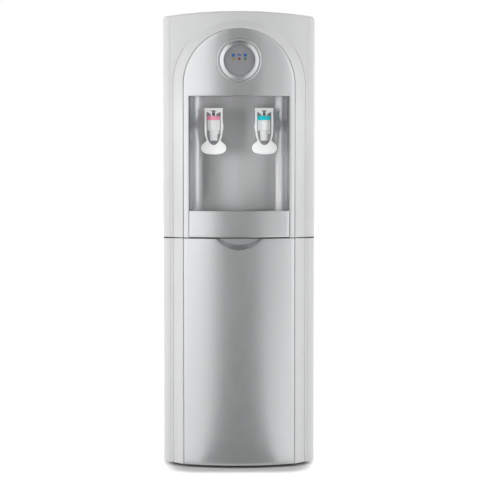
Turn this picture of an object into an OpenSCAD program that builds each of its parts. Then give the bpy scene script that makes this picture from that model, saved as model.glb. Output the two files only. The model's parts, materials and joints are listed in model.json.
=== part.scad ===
// Floor-standing bottleless water cooler with a bowed front, two push-lever
// taps in a stainless niche, a sliding drip tray and a tilting lower door.
// Millimetres, +X to the right seen from the front, front faces -Y, +Z up.
// The origin is on the floor, under the centre of the overall box.

/* [Cabinet] */
// Overall width
body_w = 328; // [322:1:350]
// Depth from the crest of the front to the rear panel
cabinet_d = 316; // [312:1:350]
// Height of the top at its crest
body_h = 980; // [976:1:1010]
// Gap from the floor to the cabinet
foot_h = 6; // [4:0.5:10]
// Radius of the crowned top, seen from the front
top_crown_r = 1500; // [1300:10:3000]
// Radius of the upper corners, seen from the front
top_corner_r = 8; // [5:0.5:12]
// Thickness of the steel panels
panel_t = 1.2; // [0.8:0.1:1.6]
// Lap of the top cover over the side panels
skirt_h = 14; // [8:1:20]
// Height of the open compressor bay at the rear
bay_h = 202; // [190:1:214]

/* [Bowed front] */
// Radius of the silver bow
silver_bow_r = 367; // [340:1:420]
// Radius of the white bow behind it
white_bow_r = 320; // [300:1:360]
// Set-back of the white bow's crest
white_set = 5; // [4:0.5:8]
// Radius of the plan corners
corner_r = 20; // [16:1:26]
// Width of the white sides, beside the silver panels
side_w = 45.1; // [43:0.1:47]
// Seam between silver and white
seam_w = 1; // [0.6:0.1:1.6]
// Width of the raised white band
band_w = 27.6; // [24:0.2:30]
// Width of the ramp within the band
ramp_w = 20; // [16:0.5:22]
// Depth of the groove outside the ramp
groove_d = 1.5; // [0.5:0.1:2.5]
// Thickness of the silver panels
silver_t = 2; // [1.5:0.1:3]
// Thickness of the white mouldings
white_t = 3; // [2:0.1:4]
// How far the front mouldings reach back
return_d = 64; // [62:0.5:66]
// Seam between the mouldings and the side panels
panel_gap = 1; // [0.8:0.1:1.5]
// White above the raised band, at the crest of the top
crest_gap = 9.1; // [7:0.1:12]
// Width of the seam between door and upper front
seam_gap = 3; // [2.8:0.1:4]

/* [Niche and tray] */
// Silver beside the niche
niche_margin = 10.9; // [9.9:0.1:14.9]
// Depth of the niche behind the crest
niche_d = 112; // [104:1:118]
// Height of the niche above the tray
niche_h = 247.5; // [240:1:256]
// Radius of the niche's rear corners
niche_r = 40; // [30:1:46]
// Thickness of the stainless sheet
sheet_t = 1.2; // [0.8:0.1:1.5]
// Height of the tray front
tray_front_h = 54.7; // [48:0.5:60]
// Wall of the drip bin
bin_t = 2; // [1.5:0.1:3]
// Thickness of the drip grille
grille_t = 3; // [2:0.1:4]
// Width of a slot in the grille
slot_w = 5; // [4:0.5:7]
// Web between two slots
web_w = 4; // [3:0.5:6]
// Height of the arch's centre above the niche
arch_rise = 23.4; // [22:0.5:26]

/* [Control cluster] */
// Height of the cluster's centre above the niche
cluster_rise = 75; // [72:0.5:78]
// Outer diameter of the bezel
bezel_d = 88; // [80:1:92]
// How far the bezel stands proud
bezel_proud = 3.5; // [2:0.1:5]
// Diameter of the display disc
disc_d = 66; // [60:1:70]
// Diameter of a lamp
lamp_d = 5.8; // [3:0.5:6]
// Spacing of the lamps
lamp_pitch = 12.6; // [10:0.2:16]
// Height of the lamps above the disc's centre
lamp_rise = 3; // [0:0.5:8]

/* [Taps] */
// Spacing of the two taps
tap_pitch = 109.6; // [90:0.2:120]
// Set-back of the tap axis behind the crest
tap_set = 69; // [66:0.5:72]
// Drop of the tap barrel's top below the niche ceiling
tap_drop = 51; // [48:0.5:56]
// Diameter of the barrel
barrel_d = 27; // [25:0.5:28]
// Height of the barrel
barrel_h = 23; // [20:0.5:26]
// Height of the coloured collar
collar_h = 8.7; // [7:0.1:10]
// Length of the spout
spout_h = 21.5; // [16:0.5:26]
// Diameter of the spout at its root
spout_d = 18.5; // [15:0.5:19]
// Inner half width of the lever's loop
loop_half = 15.3; // [15.2:0.1:17]
// Width of a lever arm
arm_w = 4.4; // [4:0.1:6]
// Thickness of the lever
lever_t = 4; // [3:0.1:5]
// Forward slant of the lever at rest, degrees
lever_slant = 15; // [12:0.5:16]
// Pivot's distance in front of the valve stem
pivot_ahead = 9; // [8.6:0.1:9.6]
// Width of the paddle
paddle_w = 54; // [44:0.5:58]
// Height of the paddle
paddle_h = 28; // [22:0.2:30]
// Diameter of the valve stem
stem_d = 5; // [4:0.1:5.6]
// Wire of the return spring
spring_wire = 1.2; // [0.8:0.1:1.4]

/* [Door] */
// Chord of the finger scoop
scoop_w = 102; // [90:1:110]
// Height of the scoop at the surface
scoop_h = 26; // [22:0.5:30]
// Chord of the scoop's inner face
scoop_in_w = 88; // [76:1:92]
// Height of the scoop's inner face
scoop_in_h = 14.5; // [12:0.5:16]
// Depth of the scoop
scoop_d = 10; // [7:0.5:13]
// Height of the door's hinge pins
hinge_z = 16; // [15:0.5:18]
// Set-back of the hinge pins behind the crest
hinge_set = 14; // [13.5:0.1:15]
// Diameter of a hinge pin
hinge_pin_d = 6; // [5:0.5:7]
// Distance of the hinge ears from the middle
hinge_x = 55; // [40:1:60]

/* [Cold and hot water] */
// Gap between the niche and the cold tank's jacket, which takes up the rest of the depth
tank_gap = 24.4; // [22:0.2:34]
// Height of the cold tank
cold_h = 158; // [140:1:162]
// Foam between the coil and the jacket's outside
foam_t = 19; // [14:1:22]
// Diameter of the evaporator tube
coil_d = 8; // [6:0.5:9]
// Turns of the evaporator coil
coil_turns = 7; // [4:1:9]
// Diameter of the hot tank
hot_d = 112; // [100:1:116]
// Height of the hot tank
hot_h = 150; // [120:1:160]
// Wall of the tanks
tank_t = 1; // [0.8:0.1:1.5]
// Diameter of the water hoses
hose_d = 9; // [7:0.5:10]

/* [Refrigeration] */
// Diameter of the compressor's shell
comp_d = 120; // [110:1:126]
// Height of the compressor's shell
comp_h = 143; // [130:1:150]
// Height of the rubber mounts
mount_h = 12; // [8:1:16]
// Distance of the condenser from the rear panel
cond_set = 21; // [18:1:28]
// Diameter of the condenser tube
cond_d = 5; // [4:0.5:6]
// Runs of the condenser tube
cond_runs = 12; // [8:1:13]
// Spacing of the runs
cond_pitch = 54; // [50:1:54]
// Distance of the runs' ends from the cabinet's sides
cond_margin = 34; // [32:1:50]
// Diameter of the condenser wires
wire_d = 1.6; // [1.2:0.1:2]
// Wires on each side of the tube
wire_count = 26; // [10:2:26]

/* [Filters and fittings] */
// Number of filter cartridges
filter_count = 3; // [2:1:3]
// Spacing of the cartridges
filter_pitch = 92; // [80:1:94]
// Diameter of a cartridge
filter_d = 60; // [50:1:64]
// Height of a cartridge's body
filter_h = 280; // [200:5:300]
// Bore of the water inlet
inlet_bore = 6.4; // [6.4:0.1:9.6]
// Bore of the cord gland
gland_bore = 7; // [6:0.5:9]
// Width of a rocker switch
rocker_w = 14; // [12:0.5:18]
// Height of a rocker switch
rocker_h = 22; // [18:0.5:26]
// Tilt of a rocker to either side, degrees
rocker_tilt = 8; // [5:0.5:10]

/* [Hidden] */
$fn = 96;

white = "white";
silver = "silver";
steel = "lightsteelblue";
dark = "dimgray";

eps = 0.01;
seat = 0.3;
run = 0.08;
// The top corners are set out by this much, so that they meet the sides at an angle
corner_bite = 0.1;
half_w = body_w / 2;
wire_gap = 0.15;
cond_reach = cond_set + cond_d / 2 + wire_gap + wire_d;
depth_all = bezel_proud + cabinet_d + cond_reach;
front_y = bezel_proud - depth_all / 2;
rear_y = front_y + cabinet_d;
panel_in = half_w - panel_t;
panel_y = front_y + return_d + panel_gap;

silver_cy = front_y + silver_bow_r;
white_cy = front_y + white_set + white_bow_r;
corner_cx = half_w - corner_r;
corner_cy = white_cy - sqrt(pow(white_bow_r - corner_r, 2) - pow(corner_cx, 2));
crown_cz = body_h - top_crown_r;
top_cx = half_w - top_corner_r + corner_bite;
top_cz = crown_cz + sqrt(pow(top_crown_r - top_corner_r, 2) - pow(top_cx, 2));
panel_top = top_cz - skirt_h;

silver_half = half_w - side_w;
silver_w = 2 * silver_half;
band_in = silver_half + seam_w;
band_out = band_in + band_w;
niche_half = silver_half - niche_margin;
niche_w = 2 * niche_half;
niche_back = front_y + niche_d;
tank_rear_gap = 3;
jacket_r = (cabinet_d - niche_d - panel_t - tank_rear_gap - tank_gap) / 2;

// Heights, from the crest of the top down to the door
arch_z = body_h - crest_gap - band_out;
niche_top = arch_z - arch_rise;
tray_top = niche_top - niche_h;
tray_bottom = tray_top - tray_front_h;
front_z = tray_bottom - 0.5;
door_top = front_z - seam_gap;
deck_t = 3;
deck_top = front_z + deck_t;
lap = 1.2;
ledge_w = 6.9;
ledge_y = silver_t + 0.2;
ledge_t = 2;

function smooth(t) = let (u = max(0, min(1, t))) u * u * (3 - 2 * u);
function silver_y(x) = silver_cy - sqrt(silver_bow_r * silver_bow_r - x * x);
function white_y(x) = white_cy - sqrt(white_bow_r * white_bow_r - x * x);
function bezier(p, t) =
  pow(1 - t, 3) * p[0] + 3 * pow(1 - t, 2) * t * p[1] + 3 * (1 - t) * t * t * p[2] + t * t * t * p[3];

// Outlines

module extrude_y(y0, y1) {
  translate([0, y1, 0]) rotate([90, 0, 0]) linear_extrude(y1 - y0) children();
}

module extrude_x(x0, x1) {
  translate([x0, 0, 0]) rotate([90, 0, 90]) linear_extrude(x1 - x0) children();
}

module both_sides() {
  children();
  mirror([1, 0, 0]) children();
}

// What a rounded corner takes away between a large circle and an upright side
module corner_waste(big, middle, small) {
  away = (middle - big) / norm(middle - big);
  tangent = big + away * (norm(middle - big) + small + 12);
  difference() {
    polygon([middle, tangent, [half_w + 12, tangent[1]], [half_w + 12, middle[1]]]);
    translate(middle) circle(small);
  }
}

// The white outline in plan
module plan_outline(inset = 0) {
  difference() {
    intersection() {
      translate([0, white_cy]) circle(white_bow_r - inset);
      translate([-half_w + inset, front_y]) square([body_w - 2 * inset, cabinet_d + 1]);
    }
    both_sides() corner_waste([0, white_cy], [corner_cx, corner_cy], corner_r - inset);
  }
}

// What lies over the crowned top and its corners, seen from the front
module crown_waste(inset = 0) {
  difference() {
    translate([-half_w - 12, top_cz]) square([body_w + 24, body_h - top_cz + 12]);
    translate([0, crown_cz]) circle(top_crown_r - inset, $fn = 360);
  }
  both_sides() corner_waste([0, crown_cz], [top_cx, top_cz], top_corner_r - inset);
}

// The outline seen from the front, X across and Z up
module crown_outline(inset = 0) {
  difference() {
    translate([-half_w + inset, 0]) square([body_w - 2 * inset, body_h + 1]);
    crown_waste(inset);
  }
}

// An arch on two legs, X across and Z up
module arch(half, bottom) {
  translate([0, arch_z]) circle(half);
  translate([-half, bottom]) square([2 * half, arch_z - bottom]);
}

// The bowed sheet behind the crest, in plan
module bow_sheet(set, t) {
  difference() {
    translate([0, silver_cy]) circle(silver_bow_r - set, $fn = 180);
    translate([0, silver_cy]) circle(silver_bow_r - set - t, $fn = 180);
    translate([-silver_bow_r, silver_cy - silver_bow_r / 2]) square(2 * silver_bow_r);
  }
}

module behind_bow(set) {
  translate([0, silver_cy]) circle(silver_bow_r - set, $fn = 180);
}

// The raised band: a ramp from the silver bow down to the white bow, then a groove.
// It follows the arch, so its section is given by the radius and by the direction
// [nx, nz] in which the radius is measured. The groove fades towards the crest.
band_steps = 11;
function groove_fade(nz) = 1 - smooth((nz - 0.45) / 0.35);
function band_y(r, nx, nz) =
  let (
    x = r * nx,
    s = smooth((r - band_in) / ramp_w),
    g = max(0, min(1, (r - band_in - ramp_w * 0.8) / (band_w - ramp_w * 0.8))),
    tuck = 0.5 * smooth((r - band_out + 2) / 3)
  )
  silver_y(x) * (1 - s) + white_y(x) * s
    + groove_d * groove_fade(nz) * pow(sin(180 * g), 2) + tuck;
function band_radius(k) = band_in + (band_w + lap) * k / band_steps;
function band_section(nx, nz) = concat(
  [for (k = [0:band_steps]) [band_radius(k), band_y(band_radius(k), nx, nz)]],
  [for (k = [band_steps:-1:1]) [band_radius(k), band_y(band_radius(k), nx, nz) + white_t]],
  [
    [band_in, silver_y(band_in * nx) + ledge_y + ledge_t],
    [band_in - ledge_w, silver_y((band_in - ledge_w) * nx) + ledge_y + ledge_t],
    [band_in - ledge_w, silver_y((band_in - ledge_w) * nx) + ledge_y],
    [band_in, silver_y(band_in * nx) + ledge_y]
  ]
);

// Triangles across the section: front points first, then the back, then the ledge
function section_cap(n) = concat(
  [for (k = [1:n - 1]) each [[k, k + 1, 2 * n - k], [k, 2 * n - k, 2 * n + 1 - k]]],
  [
    [1, 2 * n, 2 * n + 1], [1, 2 * n + 1, 2 * n + 4], [1, 2 * n + 4, 0],
    [2 * n + 1, 2 * n + 2, 2 * n + 3], [2 * n + 1, 2 * n + 3, 2 * n + 4]
  ]
);

arch_steps = 32;
band_stations = concat(
  [[0, front_z, -1, 0]],
  [for (k = [0:arch_steps]) [0, arch_z, -cos(180 * k / arch_steps), sin(180 * k / arch_steps)]],
  [[0, front_z, 1, 0]]
);

module arch_band() {
  m = len(band_section(1, 0));
  n = len(band_stations);
  points = [
    for (s = band_stations) for (p = band_section(s[2], s[3]))
      [s[0] + p[0] * s[2], p[1], s[1] + p[0] * s[3]]
  ];
  sides = [
    for (i = [0:n - 2]) for (j = [0:m - 1])
      let (a = i * m + j, b = i * m + (j + 1) % m, c = a + m, d = b + m)
      each [[a, b, c], [b, d, c]]
  ];
  last = (n - 1) * m;
  polyhedron(
    points,
    concat(
      [for (f = section_cap(band_steps)) [f[2], f[1], f[0]]],
      sides,
      [for (f = section_cap(band_steps)) [last + f[0], last + f[1], last + f[2]]]
    )
  );
}

// A tube swept along a smooth curve that never runs along the reference direction
module swept_tube(curve, r, sides = 10, steps = 22, reference = [1, 0, 0]) {
  path = [for (k = [0:steps]) bezier(curve, k / steps)];
  tangents = concat(
    [curve[1] - curve[0]],
    [for (k = [1:steps - 1]) path[k + 1] - path[k - 1]],
    [curve[3] - curve[2]]
  );
  points = [
    for (k = [0:steps])
      let (
        u = cross(tangents[k], reference) / norm(cross(tangents[k], reference)),
        v = cross(u, tangents[k]) / norm(tangents[k])
      )
      for (j = [0:sides - 1])
        path[k] + r * (cos(360 * j / sides) * u + sin(360 * j / sides) * v)
  ];
  faces = [
    for (k = [0:steps - 1]) for (j = [0:sides - 1])
      let (a = k * sides + j, b = k * sides + (j + 1) % sides)
      each [[a, b, a + sides], [b, b + sides, a + sides]]
  ];
  polyhedron(
    points,
    concat(
      [[for (j = [sides - 1:-1:0]) j]],
      faces,
      [[for (j = [0:sides - 1]) steps * sides + j]]
    )
  );
}

// A helix of round wire, standing on z = 0
module coil(r, wire, turns, pitch, per_turn = 20, sides = 6) {
  steps = turns * per_turn;
  rise = pitch / 360;
  points = [
    for (k = [0:steps])
      let (
        a = 360 * k / per_turn,
        centre = [r * cos(a), r * sin(a), wire / 2 + rise * a]
      )
      for (j = [0:sides - 1])
        let (b = 360 * j / sides)
        centre + wire / 2 * [cos(a) * cos(b), sin(a) * cos(b), sin(b)]
  ];
  faces = [
    for (k = [0:steps - 1]) for (j = [0:sides - 1])
      let (a = k * sides + j, b = k * sides + (j + 1) % sides)
      each [[a, b, a + sides], [b, b + sides, a + sides]]
  ];
  polyhedron(
    points,
    concat(
      [[for (j = [sides - 1:-1:0]) j]],
      faces,
      [[for (j = [0:sides - 1]) steps * sides + j]]
    )
  );
}

// A round drum with rounded shoulders, standing on z = 0
module drum(r, h, shoulder) {
  rotate_extrude() {
    translate([0, shoulder]) square([r, h - 2 * shoulder]);
    square([r - shoulder, h]);
    for (z = [shoulder, h - shoulder]) translate([r - shoulder, z]) intersection() {
      circle(shoulder);
      translate([-r + shoulder, -shoulder]) square([r, 2 * shoulder]);
    }
  }
}

module hexagon_nut(across, h, bore) {
  difference() {
    cylinder(r = across / sqrt(3), h = h, $fn = 6);
    translate([0, 0, -eps]) cylinder(r = bore, h = h + 2 * eps);
  }
}

// Cabinet

pan_z = foot_h;
pan_t = 1.5;
pan_flange_h = 13;
pan_inset = 8;
foot_x = half_w - 44;
foot_front = front_y + 62;
foot_rear = rear_y - 34;
foot_r = 14;
stud_r = 4;
ear_t = 3.7;
ear_r = 4.5;
comp_x = 20;
comp_y = rear_y - comp_d / 2 - 14;
comp_leg_x = 66;
comp_leg_y = 42;

module at_feet() {
  for (x = [-foot_x, foot_x]) for (y = [foot_front, foot_rear]) translate([x, y, 0]) children();
}

module at_compressor_legs() {
  for (x = [-1, 1]) for (y = [-1, 1])
    translate([comp_x + x * comp_leg_x, comp_y + y * comp_leg_y, 0]) children();
}

module base_pan() {
  color(steel) {
    difference() {
      union() {
        translate([0, 0, pan_z]) linear_extrude(pan_t) pan_plan();
        both_sides() translate([panel_in - panel_t, panel_y, pan_z])
          cube([panel_t, rear_y - panel_y, pan_flange_h]);
        translate([-panel_in, rear_y - pan_t, pan_z]) cube([2 * panel_in, pan_t, pan_flange_h]);
      }
      at_feet() translate([0, 0, pan_z - 1]) cylinder(r = stud_r + seat, h = pan_t + 2);
    }
    both_sides() hinge_ear();
  }
}

module pan_plan() {
  intersection() {
    plan_outline(pan_inset);
    translate([-half_w, front_y]) square([body_w, return_d + 2]);
  }
  translate([-panel_in, panel_y]) square([2 * panel_in, rear_y - panel_y]);
}

module hinge_ear() {
  ear_y = front_y + hinge_set;
  extrude_x(hinge_x, hinge_x + ear_t) {
    translate([ear_y, hinge_z]) circle(ear_r);
    translate([ear_y, pan_z]) square([2 * ear_r, hinge_z - pan_z + ear_r]);
  }
  translate([hinge_x + ear_t - 1, ear_y, hinge_z]) rotate([0, 90, 0])
    cylinder(r = hinge_pin_d / 2, h = 10);
}

module levelling_feet() {
  color(dark) at_feet() {
    cylinder(r1 = foot_r, r2 = foot_r - 2, h = pan_z);
    cylinder(r = stud_r, h = pan_z + 12);
    translate([0, 0, pan_z + pan_t]) hexagon_nut(13, 4, stud_r - 0.5);
  }
}

module side_panel() {
  translate([panel_in, panel_y, pan_z]) cube([panel_t, rear_y - panel_y, panel_top - pan_z]);
}

module side_panel_left() {
  color(white) mirror([1, 0, 0]) side_panel();
}

module side_panel_right() {
  color(white) side_panel();
}

rear_bottom = pan_z + bay_h;
fitting_z = rear_bottom + 18;
inlet_x = half_w - 64;
drain_x = -inlet_x;
gland_x = inlet_x - 60;
switch_z = niche_top + 84;
switch_clear = 22.3;
switch_x = jacket_r + switch_clear;
switch_pitch = 44;
switch_wall = 2.5;
vent_w = 84;
vent_h = 4;
vent_pitch = 9;
vent_rows = 6;

module at_switches() {
  for (k = [0, 1]) translate([-switch_x + k * switch_pitch, rear_y, switch_z]) children();
}

module rear_panel() {
  color(steel) difference() {
    extrude_y(rear_y - panel_t, rear_y)
      translate([-panel_in, rear_bottom]) square([2 * panel_in, panel_top - rear_bottom]);
    extrude_y(rear_y - panel_t - 1, rear_y + 1) {
      for (k = [0, 1])
        translate([-switch_x + k * switch_pitch - rocker_w / 2 - switch_wall,
                   switch_z - rocker_h / 2 - switch_wall])
          square([rocker_w + 2 * switch_wall, rocker_h + 2 * switch_wall]);
      for (k = [0:vent_rows - 1])
        translate([half_w / 2 - vent_w / 2, switch_z - 22 + k * vent_pitch]) square([vent_w, vent_h]);
      translate([inlet_x, fitting_z]) circle(fitting_r + seat);
      translate([drain_x, fitting_z]) circle(drain_r + seat);
      translate([gland_x, fitting_z]) circle(gland_r + seat);
    }
  }
}

module top_cover() {
  color(white) intersection() {
    difference() {
      extrude_y(panel_y, rear_y) crown_outline();
      extrude_y(panel_y - 1, rear_y - white_t) crown_outline(white_t);
    }
    translate([-half_w, panel_y, panel_top + seat])
      cube([body_w, rear_y - panel_y, body_h - panel_top]);
  }
}

// The upper front is one moulding: a shell round the outside, open for the arch,
// and the raised band that joins the two bows round that opening.
module upper_front_frame() {
  color(white) {
    difference() {
      front_block(front_z, 0, return_d);
      front_block(front_z - 1, white_t, return_d + 1);
      extrude_y(front_y - 1, front_y + return_d - white_t) arch(band_out, front_z - 1);
    }
    arch_band();
  }
}

module front_block(bottom, inset, reach) {
  difference() {
    translate([0, 0, bottom]) linear_extrude(body_h + 1 - bottom) intersection() {
      plan_outline(inset);
      translate([-half_w - 1, front_y - 1]) square([body_w + 2, reach + 1]);
    }
    extrude_y(front_y - 2, front_y + return_d + 2) crown_waste(inset);
  }
}

bezel_r = bezel_d / 2;
bezel_hole_r = bezel_r - 2.2;
cluster_z = niche_top + cluster_rise;

module fascia_panel() {
  color(silver) difference() {
    intersection() {
      translate([0, 0, front_z]) linear_extrude(body_h - front_z) bow_sheet(0, silver_t);
      extrude_y(front_y - 1, front_y + return_d) arch(silver_half, front_z);
    }
    translate([-niche_half, front_y - 1, front_z - 1])
      cube([niche_w, return_d, niche_top - front_z + 1]);
    extrude_y(front_y - 1, front_y + return_d) translate([0, cluster_z]) circle(bezel_hole_r);
  }
}

// Control cluster

board_set = 11;
bezel_back = 2.4;
lip = 3;

module at_cluster() {
  translate([0, front_y, cluster_z]) rotate([90, 0, 0]) children();
}

// Two beads with a step between them, then a tube back to the board
module bezel_profile() {
  disc_r = disc_d / 2;
  translate([bezel_r - 1.4, bezel_proud - 2.2]) circle(1.4, $fn = 32);
  translate([bezel_r - 2.8, -bezel_back - 1.5]) square([2.8, bezel_proud + bezel_back - 0.7]);
  intersection() {
    translate([disc_r + 4.3, bezel_proud - 5]) circle(5, $fn = 48);
    translate([disc_r + 0.3, -bezel_back]) square([12, 20]);
  }
  translate([disc_r + 0.3, -bezel_back]) square([bezel_r - disc_r - 1, bezel_back + 1.2]);
  translate([disc_r - lip, -bezel_back - 1]) square([bezel_r - disc_r + lip - 3, 1.1]);
  translate([disc_r - lip, -board_set]) square([2, board_set - bezel_back]);
}

module control_bezel() {
  color(silver) difference() {
    at_cluster() rotate_extrude() bezel_profile();
    difference() {
      translate([0, 0, cluster_z - bezel_d]) linear_extrude(2 * bezel_d)
        behind_bow(-seat / 3);
      extrude_y(front_y - 9, front_y + return_d) translate([0, cluster_z]) circle(bezel_hole_r - seat);
      extrude_y(front_y + 8, front_y + 2 * return_d) translate([0, cluster_z]) circle(bezel_d);
    }
  }
}

module at_lamps(k) {
  translate([k * lamp_pitch, lamp_rise, 0]) children();
}

module display_disc() {
  color("gray") at_cluster() difference() {
    translate([0, 0, seat - bezel_back]) cylinder(r = disc_d / 2, h = bezel_back - seat + 0.8);
    for (k = [-1:1]) at_lamps(k) translate([0, 0, -bezel_back - 1])
      cylinder(r = lamp_d / 2 + seat, h = 6, $fn = 32);
  }
}

module lamp(k) {
  at_cluster() at_lamps(k) {
    translate([0, 0, -board_set]) cylinder(r = lamp_d / 2, h = board_set + 0.6, $fn = 32);
    translate([0, 0, -board_set]) cylinder(r = lamp_d / 2 + 0.5, h = 1, $fn = 32);
    intersection() {
      translate([0, 0, -0.6]) sphere(r = lamp_d / 2, $fn = 32);
      cylinder(r = lamp_d, h = lamp_d);
    }
  }
}

module lamp_amber() {
  color("gold") lamp(-1);
}

module lamp_red() {
  color("red") lamp(0);
}

module lamp_green() {
  color("green") lamp(1);
}

module control_board() {
  color("darkgreen") at_cluster() translate([-36, -32, -board_set - 1.6]) cube([72, 64, 1.6]);
  color(dark) at_cluster() {
    translate([-30, -24, -board_set - 9]) cube([26, 12, 7.4]);
    translate([4, -26, -board_set - 6]) cube([18, 18, 4.4]);
    translate([14, 6, -board_set - 13]) cylinder(r = 6, h = 11.4, $fn = 32);
  }
}

// Niche

module niche_outline(grow = 0) {
  r = niche_r + grow;
  intersection() {
    union() {
      translate([-niche_half - grow, front_y]) square([niche_w + 2 * grow, niche_d - niche_r]);
      translate([-niche_half + niche_r, front_y])
        square([niche_w - 2 * niche_r, niche_d + grow]);
      for (side = [-1, 1])
        translate([side * (niche_half - niche_r), niche_back - niche_r]) circle(r);
    }
    behind_bow(silver_t + seat);
  }
}

module niche_liner() {
  color(steel) difference() {
    translate([0, 0, deck_top]) linear_extrude(niche_top - deck_top) niche_outline(sheet_t);
    translate([0, 0, deck_top - 1]) linear_extrude(niche_top) niche_outline();
    translate([-niche_half, front_y, deck_top - 1])
      cube([niche_w, return_d - 30, niche_top - deck_top + 2]);
    at_taps() translate([0, tap_y + cavity_r, tap_shank_z]) rotate([-90, 0, 0])
      cylinder(r = shank_r + seat, h = 60);
  }
}

module niche_ceiling() {
  color(steel) translate([0, 0, niche_top]) linear_extrude(2) niche_outline(sheet_t);
}

module mid_deck() {
  color(steel) translate([0, 0, front_z]) linear_extrude(deck_t) {
    intersection() {
      plan_outline(white_t + groove_d + seat);
      translate([-half_w, front_y]) square([body_w, return_d + 2]);
    }
    translate([-panel_in, panel_y + 1]) square([2 * panel_in, rear_y - panel_t - panel_y - 1]);
  }
}

partition_gap = 12;
partition_y = niche_back + partition_gap;

module partition() {
  half = panel_in - panel_t - seat;
  color(steel) translate([-half, partition_y, pan_z + pan_t])
    cube([2 * half, panel_t, front_z - pan_z - pan_t]);
}

// Taps

tap_y = front_y + tap_set;
barrel_top = niche_top - tap_drop;
barrel_bottom = barrel_top - barrel_h;
spout_bottom = barrel_bottom - spout_h;
collar_top = barrel_top + collar_h;
barrel_r = barrel_d / 2;
collar_r = barrel_r + 0.7;
bonnet_r = barrel_r - 2;
cavity_r = barrel_r - 3;
seat_z = barrel_bottom + 5;
shank_r = 8;
spout_taper = 1.3;
tap_shank_z = barrel_bottom + 12;
barb_r = 4.5;
nut_t = 7;
flange_r = 12;
barb_end = niche_back + sheet_t + nut_t + 12;
pivot_y = tap_y - pivot_ahead;
pivot_z = collar_top + 7.8;
pin_r = 1.5;
tongue_r = 3.2;
stem_in = 3.2;
ear_w = 2.6;
lug_x = stem_in + ear_w + seat;
lug_w = 3;
lever_top = pivot_z + 4.5;
lever_top_t = 5;
lift_pin_r = 1.2;

module at_taps() {
  for (side = [-1, 1]) translate([side * tap_pitch / 2, 0, 0]) children();
}

module tap_body() {
  difference() {
    union() {
      translate([0, tap_y, barrel_bottom]) cylinder(r = barrel_r, h = barrel_h);
      translate([0, tap_y, spout_bottom])
        cylinder(r1 = spout_d / 2 - spout_taper, r2 = spout_d / 2, h = spout_h + 1);
      translate([0, tap_y + 4, tap_shank_z]) rotate([-90, 0, 0])
        cylinder(r = shank_r, h = niche_back + sheet_t + nut_t - tap_y - 4 + 2);
      translate([0, niche_back - 3.3, tap_shank_z]) rotate([-90, 0, 0])
        cylinder(r = flange_r, h = 3);
      translate([0, niche_back, tap_shank_z]) rotate([-90, 0, 0])
        cylinder(r = barb_r, h = barb_end - niche_back);
    }
    translate([0, tap_y, seat_z]) cylinder(r = cavity_r, h = barrel_h);
    translate([0, tap_y, spout_bottom - 1]) cylinder(r = 5.5, h = spout_h + 8);
    translate([0, tap_y, tap_shank_z]) rotate([-90, 0, 0]) cylinder(r = 3, h = barb_end - tap_y + 1);
  }
}

module hot_tap_body() {
  color(white) translate([-tap_pitch / 2, 0, 0]) tap_body();
}

module cold_tap_body() {
  color(white) translate([tap_pitch / 2, 0, 0]) tap_body();
}

// The bonnet closes the barrel and carries the lever on two ears
module tap_bonnets() {
  color(white) at_taps() difference() {
    union() {
      translate([0, tap_y, barrel_top]) cylinder(r = bonnet_r, h = collar_h + 0.6);
      for (side = [-1, 1])
        extrude_x(side * (stem_in + ear_w / 2) - ear_w / 2, side * (stem_in + ear_w / 2) + ear_w / 2) {
          translate([pivot_y, pivot_z]) circle(tongue_r);
          translate([pivot_y - tongue_r, collar_top + 0.1])
            square([2 * tongue_r, pivot_z - collar_top - 0.1]);
        }
    }
    translate([0, tap_y, barrel_top - 1]) cylinder(r = stem_d / 2 + run, h = collar_h + 2);
    translate([-20, pivot_y, pivot_z]) rotate([0, 90, 0]) cylinder(r = pin_r + 0.05, h = 40);
  }
}

module collar() {
  translate([0, tap_y, barrel_top]) difference() {
    cylinder(r = collar_r, h = collar_h);
    translate([0, 0, -1]) cylinder(r = bonnet_r + 0.1, h = collar_h + 2);
  }
}

module hot_collar() {
  color("hotpink") translate([-tap_pitch / 2, 0, 0]) collar();
}

module cold_collar() {
  color("deepskyblue") translate([tap_pitch / 2, 0, 0]) collar();
}

module tap_pins() {
  color(steel) at_taps() translate([-lug_x - lug_w + 0.4, pivot_y, pivot_z]) rotate([0, 90, 0])
    cylinder(r = pin_r, h = 2 * (lug_x + lug_w - 0.4));
}

module tap_nuts() {
  color(dark) at_taps() translate([0, niche_back + sheet_t, tap_shank_z]) rotate([-90, 0, 0])
    hexagon_nut(24, nut_t, shank_r + 0.1);
}

spring_turns = 5;
spring_bottom = seat_z + 5.6;
spring_h = barrel_top - seat - spring_bottom;

module tap_spring() {
  translate([0, tap_y, spring_bottom])
    coil(6.5, spring_wire, spring_turns, (spring_h - spring_wire) / spring_turns, 16);
}

module hot_spring() {
  color(steel) translate([-tap_pitch / 2, 0, 0]) tap_spring();
}

module cold_spring() {
  color(steel) translate([tap_pitch / 2, 0, 0]) tap_spring();
}

// The stem: seal disc on the seat, rod through the bonnet, and a head with a hole
// that is wider than the lever's lift pin, because the pin moves on an arc.
head_x = 5;
head_y = 7;
head_clear = 1.3;

module stem() {
  difference() {
    union() {
      translate([0, tap_y, seat_z + seat]) cylinder(r = 8.2, h = 5);
      translate([0, tap_y, seat_z + seat]) cylinder(r = stem_d / 2, h = collar_top - seat_z + 3);
      translate([-head_x / 2, tap_y - head_y / 2, collar_top + 2.6])
        cube([head_x, head_y, lever_top - head_clear - collar_top - 2.6]);
    }
    translate([-10, tap_y, pivot_z]) rotate([0, 90, 0]) cylinder(r = lift_pin_r + 0.4, h = 20);
  }
}

module hot_stem() {
  color(dark) translate([-tap_pitch / 2, 0, 0]) stem();
}

module cold_stem() {
  color(dark) translate([tap_pitch / 2, 0, 0]) stem();
}

// The lever: a loop that hangs round the barrel with a paddle below the spout
loop_straight = 42;
loop_end = 73;
loop_outer_end = 40;
paddle_l = 65.6;

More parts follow.
